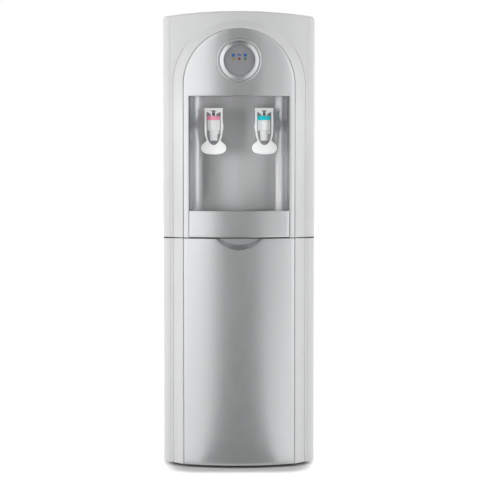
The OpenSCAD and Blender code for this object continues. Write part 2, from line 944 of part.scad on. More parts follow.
// Makes an oval's sides and ends fuller
function squared_off(c) = sign(c) * pow(abs(c), 0.8);

module lever_outline() {
  outer = loop_half + arm_w;
  arm_top = (lever_top - pivot_z + 1) / cos(lever_slant);
  difference() {
    union() {
      polygon(concat(
        [[-outer, arm_top], [-outer, -loop_straight + 6]],
        [for (a = [0:10:180]) [-outer * cos(a), -loop_straight + 6 - loop_outer_end * sin(a)]],
        [[outer, arm_top]]
      ));
      translate([0, -paddle_l - paddle_h / 2]) polygon([
        for (a = [0:10:350]) [paddle_w / 2 * squared_off(cos(a)), paddle_h / 2 * squared_off(sin(a))]
      ]);
    }
    polygon(concat(
      [[-loop_half, arm_top + 1], [-loop_half, -loop_straight]],
      [for (a = [0:10:180])
        [-loop_half * cos(a), -loop_straight - (loop_end - loop_straight) * sin(a)]],
      [[loop_half, arm_top + 1]]
    ));
  }
}

module lever() {
  outer = loop_half + arm_w;
  difference() {
    union() {
      translate([0, pivot_y, pivot_z]) rotate([-lever_slant, 0, 0]) translate([0, lever_t / 2, 0])
        rotate([90, 0, 0]) linear_extrude(lever_t) lever_outline();
      translate([-outer - seat, pivot_y - 7, lever_top]) cube([2 * (outer + seat), 20, lever_top_t]);
      for (side = [-1, 1])
        extrude_x(side * (lug_x + lug_w / 2) - lug_w / 2, side * (lug_x + lug_w / 2) + lug_w / 2)
          polygon([
            [pivot_y - 3.6, lever_top + 1], [pivot_y - 3.6, pivot_z - 2],
            [pivot_y - 1.6, pivot_z - 3.6], [tap_y + 1.6, pivot_z - 2.8],
            [tap_y + 3, pivot_z - 1], [tap_y + 3, lever_top + 1]
          ]);
      translate([-lug_x - 1, tap_y, pivot_z]) rotate([0, 90, 0])
        cylinder(r = lift_pin_r, h = 2 * (lug_x + 1), $fn = 32);
    }
    for (side = [-1, 1])
      translate([side * (lug_x + lug_w / 2) - lug_w, pivot_y, pivot_z]) rotate([0, 90, 0])
        cylinder(r = pin_r + run, h = 2 * lug_w);
  }
}

module hot_lever() {
  color(white) translate([-tap_pitch / 2, 0, 0]) lever();
}

module cold_lever() {
  color(white) translate([tap_pitch / 2, 0, 0]) lever();
}

// Tanks

bracket_t = 2;
bracket_z = tap_shank_z + 8;
jacket_z = bracket_z + bracket_t;
foam_in = jacket_r - foam_t;
coil_r = foam_in - seat - coil_d / 2;
// What the middles of the coil's straight segments come in by
coil_sag = 0.9;
cold_r = coil_r - coil_d / 2 - coil_sag - seat;
tank_y = rear_y - panel_t - tank_rear_gap - jacket_r;
foam_base = 14;
cold_z = jacket_z + foam_base;
jacket_h = cold_h + 2 * foam_base;
stub_r = hose_d / 2;
hot_x = -tap_pitch / 2;
hot_y = rear_y - hot_d / 2 - 30;
hot_z = deck_top + 12;
hose_end_z = jacket_z - 14;
cold_out_x = 20;

module cold_tank() {
  color(steel) difference() {
    union() {
      translate([0, tank_y, cold_z]) drum(cold_r, cold_h, 14);
      translate([cold_out_x, tank_y, hose_end_z]) cylinder(r = stub_r, h = cold_z + 2 - hose_end_z);
      translate([0, tank_y, cold_z + cold_h - 2]) cylinder(r = stub_r, h = foam_base + 8);
    }
    translate([0, tank_y, cold_z + tank_t]) drum(cold_r - tank_t, cold_h - 2 * tank_t, 13);
    translate([cold_out_x, tank_y, hose_end_z - 1]) cylinder(r = stub_r - 1.2, h = foam_base + 40);
    translate([0, tank_y, cold_z + cold_h - 8]) cylinder(r = stub_r - 1.2, h = foam_base + 40);
  }
}

coil_pitch = coil_d + 9;

module evaporator_coil() {
  color("peru") translate([0, tank_y, cold_z + 20]) coil(coil_r, coil_d, coil_turns, coil_pitch);
}

module tank_jacket() {
  color(dark) translate([0, tank_y, jacket_z]) difference() {
    drum(jacket_r, jacket_h, 12);
    translate([0, 0, foam_base]) cylinder(r = foam_in, h = cold_h);
    translate([0, 0, -1]) translate([cold_out_x, 0, 0]) cylinder(r = stub_r + seat, h = foam_base + 2);
    translate([0, 0, cold_h + foam_base - 1]) cylinder(r = stub_r + seat, h = foam_base + 2);
  }
}

module tank_bracket() {
  color(steel) difference() {
    union() {
      translate([-panel_in, tank_y - jacket_r + 10, bracket_z])
        cube([2 * panel_in, 2 * jacket_r - 12, bracket_t]);
      both_sides() translate([panel_in - bracket_t, tank_y - jacket_r + 10, bracket_z - 16])
        cube([bracket_t, 2 * jacket_r - 12, 16]);
    }
    translate([cold_out_x, tank_y, bracket_z - 1]) cylinder(r = stub_r + 2, h = bracket_t + 2);
  }
}

module hot_tank() {
  color(steel) difference() {
    union() {
      translate([hot_x, hot_y, hot_z]) drum(hot_d / 2, hot_h, 14);
      translate([hot_x, hot_y, hot_z + hot_h - 2]) cylinder(r = stub_r, h = 18);
      for (a = [30:120:270])
        translate([hot_x + 32 * cos(a), hot_y + 32 * sin(a), deck_top])
          cylinder(r = 6, h = hot_z - deck_top + 2);
    }
    translate([hot_x, hot_y, hot_z + tank_t]) drum(hot_d / 2 - tank_t, hot_h - 2 * tank_t, 13);
    translate([hot_x, hot_y, hot_z + hot_h - 8]) cylinder(r = stub_r - 1.2, h = 40);
  }
}

module band_heater() {
  color(dark) translate([hot_x, hot_y, hot_z + 34]) difference() {
    union() {
      cylinder(r = hot_d / 2 + 3.2, h = 52);
      translate([hot_d / 2 + 1, -9, 16]) cube([14, 18, 20]);
    }
    translate([0, 0, -1]) cylinder(r = hot_d / 2 + 0.2, h = 54);
  }
}

module tap_hoses() {
  color("ivory") {
    swept_tube([
      [hot_x, barb_end, tap_shank_z], [hot_x, barb_end + 45, tap_shank_z],
      [hot_x, hot_y, hot_z + hot_h + 56], [hot_x, hot_y, hot_z + hot_h + 16]
    ], hose_d / 2);
    swept_tube([
      [tap_pitch / 2, barb_end, tap_shank_z], [tap_pitch / 2, barb_end + 50, tap_shank_z],
      [cold_out_x, tank_y, hose_end_z - 34], [cold_out_x, tank_y, hose_end_z]
    ], hose_d / 2);
  }
}

// Refrigeration

module compressor() {
  comp_z = pan_z + pan_t + mount_h;
  color(dark) difference() {
    union() {
      translate([comp_x, comp_y, comp_z + 2]) compressor_shell(comp_d / 2, comp_h, 0);
      translate([comp_x, comp_y, comp_z + 72]) cylinder(r = comp_d / 2 + 2, h = 5);
      translate([comp_x - comp_leg_x - 10, comp_y - comp_leg_y - 10, comp_z])
        cube([2 * comp_leg_x + 20, 2 * comp_leg_y + 20, 2.5]);
      translate([comp_x - comp_d / 2 - 24, comp_y - 22, comp_z + 40]) cube([36, 44, 56]);
      translate([comp_x + comp_d / 2 - 16, comp_y, comp_z + comp_h - 40])
        cylinder(r = 4, h = 62);
    }
    translate([comp_x, comp_y, comp_z + 2]) difference() {
      compressor_shell(comp_d / 2 - 3, comp_h - 3, 3);
      cylinder(r = 38, h = 90);
    }
    translate([comp_x + comp_d / 2 - 16, comp_y, comp_z + comp_h - 60]) cylinder(r = 2.8, h = 90);
    at_compressor_legs() cylinder(r = 4.3, h = 60);
  }
}

module compressor_shell(r, h, base) {
  dome = r * 0.62;
  foot = 12;
  rotate_extrude() {
    translate([0, base]) square([r - foot, foot]);
    translate([r - foot, base + foot]) intersection() {
      circle(foot);
      translate([0, -foot]) square(foot);
    }
    translate([0, base + foot]) square([r, h - dome - foot - base]);
    translate([0, base + foot]) square([r - dome, h - foot - base]);
    translate([r - dome, h - dome]) intersection() {
      circle(dome);
      square(dome);
    }
  }
}

module compressor_mounts() {
  color("black") at_compressor_legs() {
    translate([0, 0, pan_z + pan_t]) cylinder(r1 = 11, r2 = 9, h = mount_h);
    translate([0, 0, pan_z + pan_t]) cylinder(r = 4, h = mount_h + 6);
    translate([0, 0, pan_z + pan_t + mount_h + 2.6]) cylinder(r = 8, h = 3);
  }
}

cond_y = rear_y + cond_set;
cond_z = rear_bottom + 42;
cond_top = cond_z + (cond_runs - 1) * cond_pitch;
cond_half = half_w - cond_margin;
clip_x = cond_half - 10;

module condenser_tube() {
  color(dark) {
    for (k = [0:cond_runs - 1]) translate([-cond_half, cond_y, cond_z + k * cond_pitch])
      rotate([0, 90, 0]) cylinder(r = cond_d / 2, h = 2 * cond_half, $fn = 24);
    for (k = [0:cond_runs - 2])
      translate([(k % 2 == 0 ? 1 : -1) * cond_half, cond_y, cond_z + (k + 0.5) * cond_pitch])
        rotate([90, k % 2 == 0 ? 90 : -90, 0]) rotate_extrude(angle = 180)
          translate([cond_pitch / 2, 0]) circle(cond_d / 2, $fn = 24);
  }
}

module condenser_wires() {
  side_y = cond_d / 2 + wire_gap + wire_d / 2;
  pitch = 2 * (cond_half - 5) / (wire_count - 1);
  color(dark) for (k = [0:wire_count - 1]) for (side = [-1, 1])
    translate([-cond_half + 5 + k * pitch, cond_y + side * side_y, cond_z - 12])
      cylinder(r = wire_d / 2, h = cond_top - cond_z + 24, $fn = 16);
}

module condenser_brackets() {
  color(dark) for (x = [-clip_x, clip_x]) for (z = [cond_z, cond_top]) difference() {
    translate([x - 3, rear_y, z - 8]) cube([6, cond_set + cond_d / 2 + 1.5, 16]);
    translate([x - 4, cond_y, z]) rotate([0, 90, 0]) cylinder(r = cond_d / 2 + 0.1, h = 8, $fn = 24);
  }
}

// Filters and fittings

filter_y = partition_y - filter_d / 2 - 9;
filter_top = door_top - 40;
filter_head_r = 22;
filter_head_h = 24;

module at_filters() {
  for (k = [0:filter_count - 1])
    translate([(k - (filter_count - 1) / 2) * filter_pitch, filter_y, 0]) children();
}

module filter_bracket() {
  w = (filter_count - 1) * filter_pitch + filter_d;
  color(steel) {
    translate([-w / 2, filter_y - 24, filter_top]) cube([w, partition_y - filter_y + 24, 2.5]);
    translate([-w / 2, partition_y - 2.5, filter_top - 26]) cube([w, 2.5, 28]);
  }
}

module filter_cartridges() {
  color(white) at_filters() {
    translate([0, 0, filter_top - filter_head_h]) cylinder(r = filter_head_r, h = filter_head_h);
    translate([0, 0, filter_top - filter_head_h - filter_h + 1]) drum(filter_d / 2, filter_h, 10);
    translate([0, 0, filter_top - filter_head_h - 8]) cylinder(r = filter_d / 2 + 1, h = 5);
  }
}

fitting_r = 9;
drain_r = 10;
gland_r = 8;

// A bulkhead fitting on the rear panel, its bore open to the rear
module inlet_fitting() {
  color(dark) translate([inlet_x, rear_y, fitting_z]) rotate([-90, 0, 0]) difference() {
    union() {
      translate([0, 0, -22]) cylinder(r = fitting_r, h = 40);
      cylinder(r = fitting_r + 3, h = 4);
    }
    translate([0, 0, -2]) cylinder(r = inlet_bore / 2, h = 21);
    translate([0, 0, -23]) cylinder(r = 2, h = 30);
  }
}

module inlet_valve() {
  color("khaki") translate([inlet_x, rear_y - 22, fitting_z]) {
    rotate([90, 0, 0]) difference() {
      union() {
        cylinder(r = 11, h = 34);
        translate([0, 0, 34]) cylinder(r = 5, h = 12);
      }
      translate([0, 0, -1]) cylinder(r = 2, h = 60);
    }
    translate([-13, -32, 9]) cube([26, 26, 34]);
  }
}

module cord_gland() {
  color(dark) translate([gland_x, rear_y, fitting_z]) rotate([-90, 0, 0]) difference() {
    union() {
      translate([0, 0, -12]) cylinder(r = gland_r, h = 16);
      cylinder(r = gland_r + 3, h = 3);
      translate([0, 0, 3]) cylinder(r1 = gland_r, r2 = gland_r - 2.5, h = 12);
    }
    translate([0, 0, -13]) cylinder(r = gland_bore / 2, h = 30);
  }
}

module drain_plug() {
  color(white) translate([drain_x, rear_y, fitting_z]) rotate([-90, 0, 0]) {
    translate([0, 0, -18]) cylinder(r = drain_r, h = 20);
    cylinder(r = drain_r + 4, h = 9, $fn = 8);
  }
}

// Rocker switches: each rocks about a pin inside its housing
rocker_axis = 2;
rocker_arc = 14;

module switch_housings() {
  color(dark) at_switches() difference() {
    union() {
      extrude_y(-18, 0) centred_square(rocker_w + 2 * switch_wall - 0.6, rocker_h + 2 * switch_wall - 0.6);
      extrude_y(0, 2) centred_square(rocker_w + 2 * switch_wall + 3, rocker_h + 2 * switch_wall + 3);
    }
    extrude_y(-14, 3) centred_square(rocker_w + 0.8, rocker_h + 0.8);
  }
}

module centred_square(w, h) {
  translate([-w / 2, -h / 2]) square([w, h]);
}

module rocker() {
  rotate([-rocker_tilt, 0, 0]) {
    difference() {
      extrude_x(-rocker_w / 2, rocker_w / 2) difference() {
        circle(rocker_h / 2 - 0.4);
        translate([-rocker_h, -rocker_h]) square([rocker_h - 3, 2 * rocker_h]);
      }
      extrude_x(-rocker_w, rocker_w) translate([rocker_arc + 2, 0]) circle(rocker_arc - 5);
    }
  }
}

module hot_rocker() {
  color("red") translate([-switch_x, rear_y - rocker_axis, switch_z]) rocker();
}

module cold_rocker() {
  color("green") translate([-switch_x + switch_pitch, rear_y - rocker_axis, switch_z]) rocker();
}

// Door

door_bottom = foot_h;
flange_d = 45;
flange_t = 2.5;
magnet_x = 90;

// Plan of the door's white shell: side strips, raised bands and the wall behind the skin
module door_plan() {
  difference() {
    plan_outline();
    plan_outline(white_t);
    translate([-band_out, front_y - 1]) square([2 * band_out, cabinet_d]);
    translate([-half_w, front_y + return_d]) square([body_w, cabinet_d]);
  }
  both_sides() polygon(band_section(1, 0));
  intersection() {
    bow_sheet(ledge_y, ledge_t);
    translate([-band_in + 2, front_y]) square([2 * band_in - 4, return_d]);
  }
}

module door_flange() {
  intersection() {
    plan_outline(white_t - 0.5);
    behind_bow(ledge_y + ledge_t - 0.5);
    translate([-half_w, front_y]) square([body_w, flange_d]);
  }
}

module scoop_form(grow) {
  r1 = (pow(scoop_w / 2, 2) + scoop_h * scoop_h) / (2 * scoop_h);
  r2 = (pow(scoop_in_w / 2, 2) + scoop_in_h * scoop_in_h) / (2 * scoop_in_h);
  hull() {
    extrude_y(front_y - 2, front_y - 1) translate([0, door_top - scoop_h + r1]) circle(r1 + grow, $fn = 64);
    extrude_y(front_y + scoop_d + grow - 1, front_y + scoop_d + grow)
      translate([0, door_top - scoop_in_h + r2]) circle(r2 + grow, $fn = 64);
  }
}

module door_shell() {
  ring_x = hinge_x + ear_t + 0.4;
  color(white) difference() {
    union() {
      translate([0, 0, door_bottom]) linear_extrude(door_top - door_bottom) door_plan();
      translate([0, 0, door_top - flange_t]) linear_extrude(flange_t) door_flange();
      translate([-magnet_x - 14, front_y + flange_d - 2, door_top - 12])
        cube([2 * magnet_x + 28, 2, 12]);
      both_sides() extrude_x(ring_x, ring_x + 7) {
        translate([front_y + hinge_set, hinge_z]) circle(hinge_pin_d / 2 + 2.6);
        translate([front_y + hinge_set - 6, hinge_z - 3]) square([5, 9]);
      }
    }
    translate([-scoop_w / 2 - 3, front_y - 1, door_top - scoop_h - 4])
      cube([scoop_w + 6, scoop_d + 8, scoop_h + 5]);
    both_sides() translate([ring_x - 1, front_y + hinge_set, hinge_z]) rotate([0, 90, 0])
      cylinder(r = hinge_pin_d / 2 + run, h = 9);
  }
}

module door_skin() {
  color(silver) {
    difference() {
      translate([0, 0, door_bottom]) linear_extrude(door_top - door_bottom) skin_plan();
      scoop_form(0.5);
    }
    intersection() {
      difference() {
        scoop_form(1.8);
        scoop_form(0);
      }
      translate([0, 0, door_bottom]) linear_extrude(door_top - door_bottom) behind_bow(0);
    }
  }
}

module skin_plan() {
  intersection() {
    bow_sheet(0, silver_t);
    translate([-silver_half, front_y - 1]) square([silver_w, return_d]);
  }
}

module door_magnets() {
  color(dark) both_sides()
    translate([magnet_x - 12, front_y + flange_d + 0.6, door_top - 8])
      cube([24, 12, front_z - door_top + 8]);
}

// Drip tray

bin_gap = 3.5;
bin_bottom = deck_top + seat;
grille_top = tray_top - 1;
grille_z = grille_top - grille_t;

module tray_front() {
  color(silver) translate([0, 0, tray_bottom]) linear_extrude(tray_front_h) intersection() {
    bow_sheet(0, silver_t);
    translate([-niche_half + 0.6, front_y - 1]) square([niche_w - 1.2, return_d]);
  }
}

module bin_outline(grow) {
  intersection() {
    niche_outline(grow - bin_gap);
    behind_bow(silver_t + seat - grow);
  }
}

module drip_tray() {
  color(white) difference() {
    translate([0, 0, bin_bottom]) linear_extrude(grille_top - bin_bottom) bin_outline(0);
    translate([0, 0, bin_bottom + bin_t]) linear_extrude(grille_top) bin_outline(-bin_t - 1);
    translate([0, 0, grille_z - 0.2]) linear_extrude(grille_top) bin_outline(-1);
  }
}

module drip_grille() {
  pitch = slot_w + web_w;
  rim = 9;
  inner = niche_w - 2 * rim - 12;
  rows = floor(inner / 2 / pitch);
  slot_y0 = front_y + 32;
  slot_y1 = niche_back - 14;
  color(steel) difference() {
    translate([0, 0, grille_z]) linear_extrude(grille_t) bin_outline(-1.4);
    for (k = [-rows:rows]) {
      end = slot_y1 - (abs(k * pitch) > niche_half - niche_r ? 16 : 0);
      translate([k * pitch - slot_w / 2, slot_y0, grille_z - 1]) cube([slot_w, end - slot_y0, grille_t + 2]);
    }
  }
}

base_pan();
levelling_feet();
side_panel_left();
side_panel_right();
rear_panel();
top_cover();
upper_front_frame();
fascia_panel();
control_bezel();
display_disc();
lamp_amber();
lamp_red();
lamp_green();
control_board();
niche_liner();
niche_ceiling();
mid_deck();
partition();
hot_tap_body();
cold_tap_body();
tap_bonnets();
hot_collar();
cold_collar();
tap_pins();
tap_nuts();
hot_spring();
cold_spring();
tap_hoses();
cold_tank();
evaporator_coil();
tank_jacket();
tank_bracket();
hot_tank();
band_heater();
compressor();
compressor_mounts();
condenser_tube();
condenser_wires();
condenser_brackets();
filter_bracket();
filter_cartridges();
inlet_valve();
inlet_fitting();
cord_gland();
drain_plug();
switch_housings();
door_magnets();
door_shell();
door_skin();
drip_tray();
tray_front();
drip_grille();
hot_lever();
cold_lever();
hot_stem();
cold_stem();
hot_rocker();
cold_rocker();
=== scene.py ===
import json
import math

import bmesh
import bpy
from bpy.props import FloatProperty, FloatVectorProperty, PointerProperty
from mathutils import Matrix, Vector
from mathutils.geometry import delaunay_2d_cdt, tessellate_polygon


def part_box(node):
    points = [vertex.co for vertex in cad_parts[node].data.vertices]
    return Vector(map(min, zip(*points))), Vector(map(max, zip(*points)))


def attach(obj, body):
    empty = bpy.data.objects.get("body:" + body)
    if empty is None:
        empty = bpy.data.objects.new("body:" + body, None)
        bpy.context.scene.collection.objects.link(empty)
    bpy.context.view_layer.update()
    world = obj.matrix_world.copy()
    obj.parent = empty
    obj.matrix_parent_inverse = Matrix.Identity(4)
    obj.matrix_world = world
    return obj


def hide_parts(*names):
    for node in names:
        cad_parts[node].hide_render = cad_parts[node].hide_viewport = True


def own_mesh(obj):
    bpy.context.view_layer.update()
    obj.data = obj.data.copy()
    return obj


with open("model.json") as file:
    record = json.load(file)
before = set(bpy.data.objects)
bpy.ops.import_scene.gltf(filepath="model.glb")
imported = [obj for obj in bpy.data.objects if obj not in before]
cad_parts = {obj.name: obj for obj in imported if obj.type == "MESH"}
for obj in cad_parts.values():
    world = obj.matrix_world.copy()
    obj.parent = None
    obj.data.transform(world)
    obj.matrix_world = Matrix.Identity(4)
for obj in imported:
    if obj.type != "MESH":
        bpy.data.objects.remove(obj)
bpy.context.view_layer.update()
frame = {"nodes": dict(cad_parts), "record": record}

bl_info = {
    "name": "Bottleless water cooler",
    "version": (1, 0, 0),
    "blender": (4, 5, 0),
    "location": "3D View > Sidebar > Cooler",
    "description": "Visible pieces, finishes and studio of a floor-standing water cooler",
    "category": "Object",
}

# The CAD box, before any piece is made
MM = 1000
# The seam over the door is drawn finer than the CAD's, by this much on either side
SEAM_IN = 0.8
# Places that the CAD nodes give, in millimetres
FRONT_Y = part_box("tray_front")[0].y * MM
REAR_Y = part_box("rear_panel")[1].y * MM
HALF_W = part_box("upper_front_frame")[1].x * MM
BODY_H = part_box("upper_front_frame")[1].z * MM
FRONT_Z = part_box("upper_front_frame")[0].z * MM - SEAM_IN
DOOR_LOW, DOOR_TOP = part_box("door_skin")[0].z * MM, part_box("door_skin")[1].z * MM + SEAM_IN
TRAY_LOW, TRAY_TOP = (v.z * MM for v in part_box("tray_front"))
NICHE_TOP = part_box("niche_ceiling")[0].z * MM
NICHE_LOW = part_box("niche_liner")[0].z * MM
CLUSTER_Z = sum(v.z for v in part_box("control_bezel")) / 2 * MM
PANEL_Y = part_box("side_panel_right")[0].y * MM
PANEL_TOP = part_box("side_panel_right")[1].z * MM

# Forms of one size, in millimetres: the air behind the silver sheets, and the rounding of ends
SHEET_GAP = 0.2
END_ROUND = 0.6
# The upright bead at each front corner: its place, its radius, and how far its axis lies in the wall
BEAD_X, BEAD_R, BEAD_SINK = 149, 1.2, 0.65
# The finger scoop: half its mouth and its drop, the same of its inner face, and how deep that lies
SCOOP_HALF, SCOOP_DROP = 49, 24
INNER_HALF, INNER_DROP, INNER_DEPTH = 43, 13, 10
# How far under the door's top the wall behind its skin ends, to make room for the scoop
SCOOP_ROOM = 32
# The door's hinge knuckles: place, bore, radius and length, and their axis behind the front
KNUCKLE_X, BORE_R, KNUCKLE_R, KNUCKLE_LONG = 59.2, 3.1, 5.6, 7
HINGE_DEPTH, HINGE_Z = 14, 16
# The levers' pins, the taps' upright axes, and how far the levers slant forward at rest
PIVOT_Y, PIVOT_Z = -108.875, 765.5
TAP_Y = -99.875
SLANT = math.radians(15)


def length(name, description, millimetres, low, high):
    """A size that a user may change, given in millimetres and kept in metres."""
    return FloatProperty(
        name=name, description=description, default=millimetres / MM,
        min=low / MM, max=high / MM, subtype="DISTANCE", unit="LENGTH", precision=4,
    )


class CoolerSizes(bpy.types.PropertyGroup):
    """Sizes of the visible mouldings and sheets"""

    silver_bow: length("Silver bow", "Radius of the silver front in plan", 367, 340, 420)
    white_bow: length("White bow", "Radius of the white front in plan", 320, 300, 360)
    white_set: length("White set-back", "Set-back of the white crest", 5, 4, 8)
    corner: length("Plan corner", "Radius of the upright corners", 20, 16, 26)
    crown: length("Crown", "Radius of the crowned top", 1500, 1300, 3000)
    top_corner: length("Top corner", "Radius of the upper corners", 8, 5, 12)
    silver_width: length("Silver width", "Width of the silver panels", 237.8, 234, 242)
    seam: length("Seam", "Seam between silver and white", 1, 0.6, 1.6)
    band: length("Band", "Width of the raised white band", 27.6, 24, 30)
    ramp: length("Ramp", "Width of the ramp within the band", 20, 16, 22)
    lip: length("Lip", "Height of the lip that ends the ramp at the sides", 1.6, 0.5, 2.5)
    silver_sheet: length("Silver thickness", "Thickness of the silver panels", 2, 1.5, 3)
    white_wall: length("White thickness", "Thickness of the white mouldings", 3, 2, 4)
    reach: length("Reach", "How far the front mouldings reach back", 64, 62, 66)
    top_edge: length("Top edge", "Rounding of the top front edge", 4.5, 1, 8)
    niche_width: length("Niche width", "Width of the niche", 216, 208, 218)
    niche_depth: length("Niche depth", "Depth of the niche behind the crest", 112, 104, 118)
    niche_corner: length("Niche corner", "Radius of the niche's rear corners", 32, 28, 46)
    arch_rise: length("Arch rise", "Height of the arch's centre above the niche", 23.4, 22, 26)
    bezel: length("Bezel", "Outer diameter of the bezel", 88, 80, 92)
    disc: length("Disc", "Diameter of the display disc", 66, 60, 70)
    tap_pitch: length("Tap spacing", "Spacing of the two taps", 109.6, 90, 120)
    paddle_width: length("Paddle width", "Width of a lever's paddle", 54, 44, 58)
    paddle_height: length("Paddle height", "Height of a lever's paddle", 28, 22, 30)


def tint(name, description, hex_value):
    """A colour that a user may change, kept as it is seen."""
    return FloatVectorProperty(
        name=name, description=description, default=[int(hex_value[i:i + 2], 16) / 255 for i in (1, 3, 5)],
        size=3, min=0, max=1, subtype="COLOR_GAMMA",
    )


class CoolerColours(bpy.types.PropertyGroup):
    """Colours of the main finishes"""

    white: tint("White", "Moulded white plastic", "#E9EAEA")
    panel: tint("Panel white", "Powder-coated side panels", "#E6E7E7")
    silver: tint("Silver", "Silver paint on the front panels", "#E9EBEC")
    steel: tint("Stainless", "Polished stainless sheet", "#EAEBEC")
    disc: tint("Disc", "Satin grey display disc", "#97989B")
    hot: tint("Hot collar", "Moulded pink plastic", "#EE95B0")
    cold: tint("Cold collar", "Moulded cyan plastic", "#0DCBDA")


# Outlines of the cabinet, in millimetres, as the part's source gives them


def size(name):
    return getattr(bpy.context.scene.cooler_sizes, name) * MM


def smooth(t):
    u = max(0.0, min(1.0, t))
    return u * u * (3 - 2 * u)


def silver_y(x):
    r = size("silver_bow")
    return FRONT_Y + r - math.sqrt(r * r - x * x)


def white_centre():
    return FRONT_Y + size("white_set") + size("white_bow")


def white_y(x):
    r = size("white_bow")
    return white_centre() - math.sqrt(r * r - x * x)


def plan_y(x):
    """The white outline in plan, its upright corners included."""
    r, corner = size("white_bow"), size("corner")
    middle = HALF_W - corner
    if abs(x) < middle * r / (r - corner):
        return white_y(x)
    middle_y = white_centre() - math.sqrt((r - corner) ** 2 - middle ** 2)
    return middle_y - math.sqrt(max(corner ** 2 - (min(abs(x), HALF_W) - middle) ** 2, 0))


def crown_z(x):
    """The crowned top seen from the front, its corners included."""
    r, corner = size("crown"), size("top_corner")
    middle = HALF_W - corner
    if abs(x) < middle * r / (r - corner):
        return BODY_H - r + math.sqrt(r * r - x * x)
    middle_z = BODY_H - r + math.sqrt((r - corner) ** 2 - middle ** 2)
    return middle_z + math.sqrt(max(corner ** 2 - (min(abs(x), HALF_W) - middle) ** 2, 0))


def arch_z():
    return NICHE_TOP + size("arch_rise")


def band_edges():
    inner = size("silver_width") / 2 + size("seam")
    return inner, inner + size("band")


def band_y(r, nx, nz):
    """The raised band: a ramp from the silver bow down to the white bow. At its sides it ends
    in a lip and a narrow groove, which fade over the arch."""
    inner, ramp = band_edges()[0], size("ramp")
    s = smooth((r - inner) / ramp)
    lip = smooth((r - inner - ramp * 0.4) / (ramp * 0.5)) * (1 - smooth((r - inner - ramp) / 1.6))
    groove = math.exp(-((r - inner - ramp - 1.9) / 0.8) ** 2)
    fade = 1 - smooth((nz - 0.45) / 0.35)
    y = silver_y(r * nx) * (1 - s) + white_y(r * nx) * s
    return y + size("lip") * fade * (0.7 * groove - lip)


# Meshes


def join(*shells):
    """Several lists of vertices and faces as one."""
    vertices, faces = [], []
    for more, their_faces in shells:
        start = len(vertices)
        vertices += more
        faces += [[i + start for i in face] for face in their_faces]
    return vertices, faces


def piece(name, shell, material, body, replaced=(), sharp=38):
    """A closed mesh of a piece, given in millimetres, that rides on a body."""
    vertices, faces = shell
    mesh = bpy.data.meshes.new(name)
    mesh.from_pydata([[c / MM for c in v] for v in vertices], [], faces)
    work = bmesh.new()
    work.from_mesh(mesh)
    bmesh.ops.remove_doubles(work, verts=work.verts, dist=2e-6)
    bmesh.ops.dissolve_degenerate(work, edges=work.edges, dist=1e-6)
    bmesh.ops.recalc_face_normals(work, faces=work.faces)
    work.to_mesh(mesh)
    work.free()
    mesh.shade_smooth()
    mesh.set_sharp_from_angle(angle=math.radians(sharp))
    mesh.materials.append(material)
    made = bpy.data.objects.new(name, mesh)
    bpy.context.scene.collection.objects.link(made)
    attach(made, body)
    if replaced:
        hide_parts(*replaced)
    return made


def ring_faces(rows, per_row, closed_rows=True, closed_row_loop=False):
    """Quads between rows of points. Each row may close on itself, and so may the run of rows."""
    faces = []
    for i in range(rows if closed_row_loop else rows - 1):
        for j in range(per_row if closed_rows else per_row - 1):
            a, b = i * per_row + j, i * per_row + (j + 1) % per_row
            c, d = (i + 1) % rows * per_row + j, (i + 1) % rows * per_row + (j + 1) % per_row
            faces.append([a, b, d, c])
    return faces


def loft(rings):
    """A closed skin over rings of points, capped at both ends."""
    count = len(rings[0])
    vertices = [tuple(p) for ring in rings for p in ring]
    faces = ring_faces(len(rings), count)
    for start, ring in ((0, rings[0]), ((len(rings) - 1) * count, rings[-1])):
        faces += [[start + i for i in tri] for tri in tessellate_polygon([[Vector(p) for p in ring]])]
    return vertices, faces


def slab(grid, offset):
    """A grid of points given a thickness by an offset, closed round its rim."""
    rows, columns = len(grid), len(grid[0])
    front = [tuple(p) for row in grid for p in row]
    back = [tuple(a + b for a, b in zip(p, offset)) for p in front]
    n = len(front)
    faces = ring_faces(rows, columns, closed_rows=False)
    faces += [[i + n for i in reversed(face)] for face in faces[:]]
    rim = [j for j in range(columns)] + [i * columns + columns - 1 for i in range(1, rows)]
    rim += [(rows - 1) * columns + j for j in range(columns - 2, -1, -1)]
    rim += [i * columns for i in range(rows - 2, 0, -1)]
    faces += [[a, b, b + n, a + n] for a, b in zip(rim, rim[1:] + rim[:1])]
    return front + back, faces


def spin(profile, centre, axis, steps, flats=0):
    """A profile of (radius, height) turned about an axis, its wide parts given so many flat sides."""
    # Parts over this radius get the flats, and their corners stand out by this factor at most
    wide, sharpest = 12, 1.065
    rings = []
    for k in range(steps):
        a = 2 * math.pi * k / steps
        row = []
        for r, h in profile:
            if flats and r > wide:
                part = 2 * math.pi / flats
                turned = (a + part / 2) % part - part / 2
                r *= min(1 / math.cos(turned), sharpest)
            u, v = r * math.cos(a), r * math.sin(a)
            offset = {"z": (u, v, h), "front": (u, -h, v), "rear": (u, h, v), "side": (h, u, v)}[axis]
            row.append(tuple(c + o for c, o in zip(centre, offset)))
        rings.append(row)
    count = len(profile)
    vertices = [p for ring in rings for p in ring]
    return vertices, ring_faces(steps, count, closed_row_loop=True)


def coil(x, y, low, high, r, wire):
    """Five turns of round wire about an upright line, between two heights."""
    turns, steps = 5, 32
    rings = []
    for k in range(turns * steps + 1):
        a = 2 * math.pi * k / steps
        z = low + wire + (high - low - 2 * wire) * k / (turns * steps)
        ring = [(r + wire * math.cos(b), z + wire * math.sin(b)) for b in [math.pi * j / 5 for j in range(10)]]
        rings.append([(x + u * math.cos(a), y + u * math.sin(a), v) for u, v in ring])
    return loft(rings)


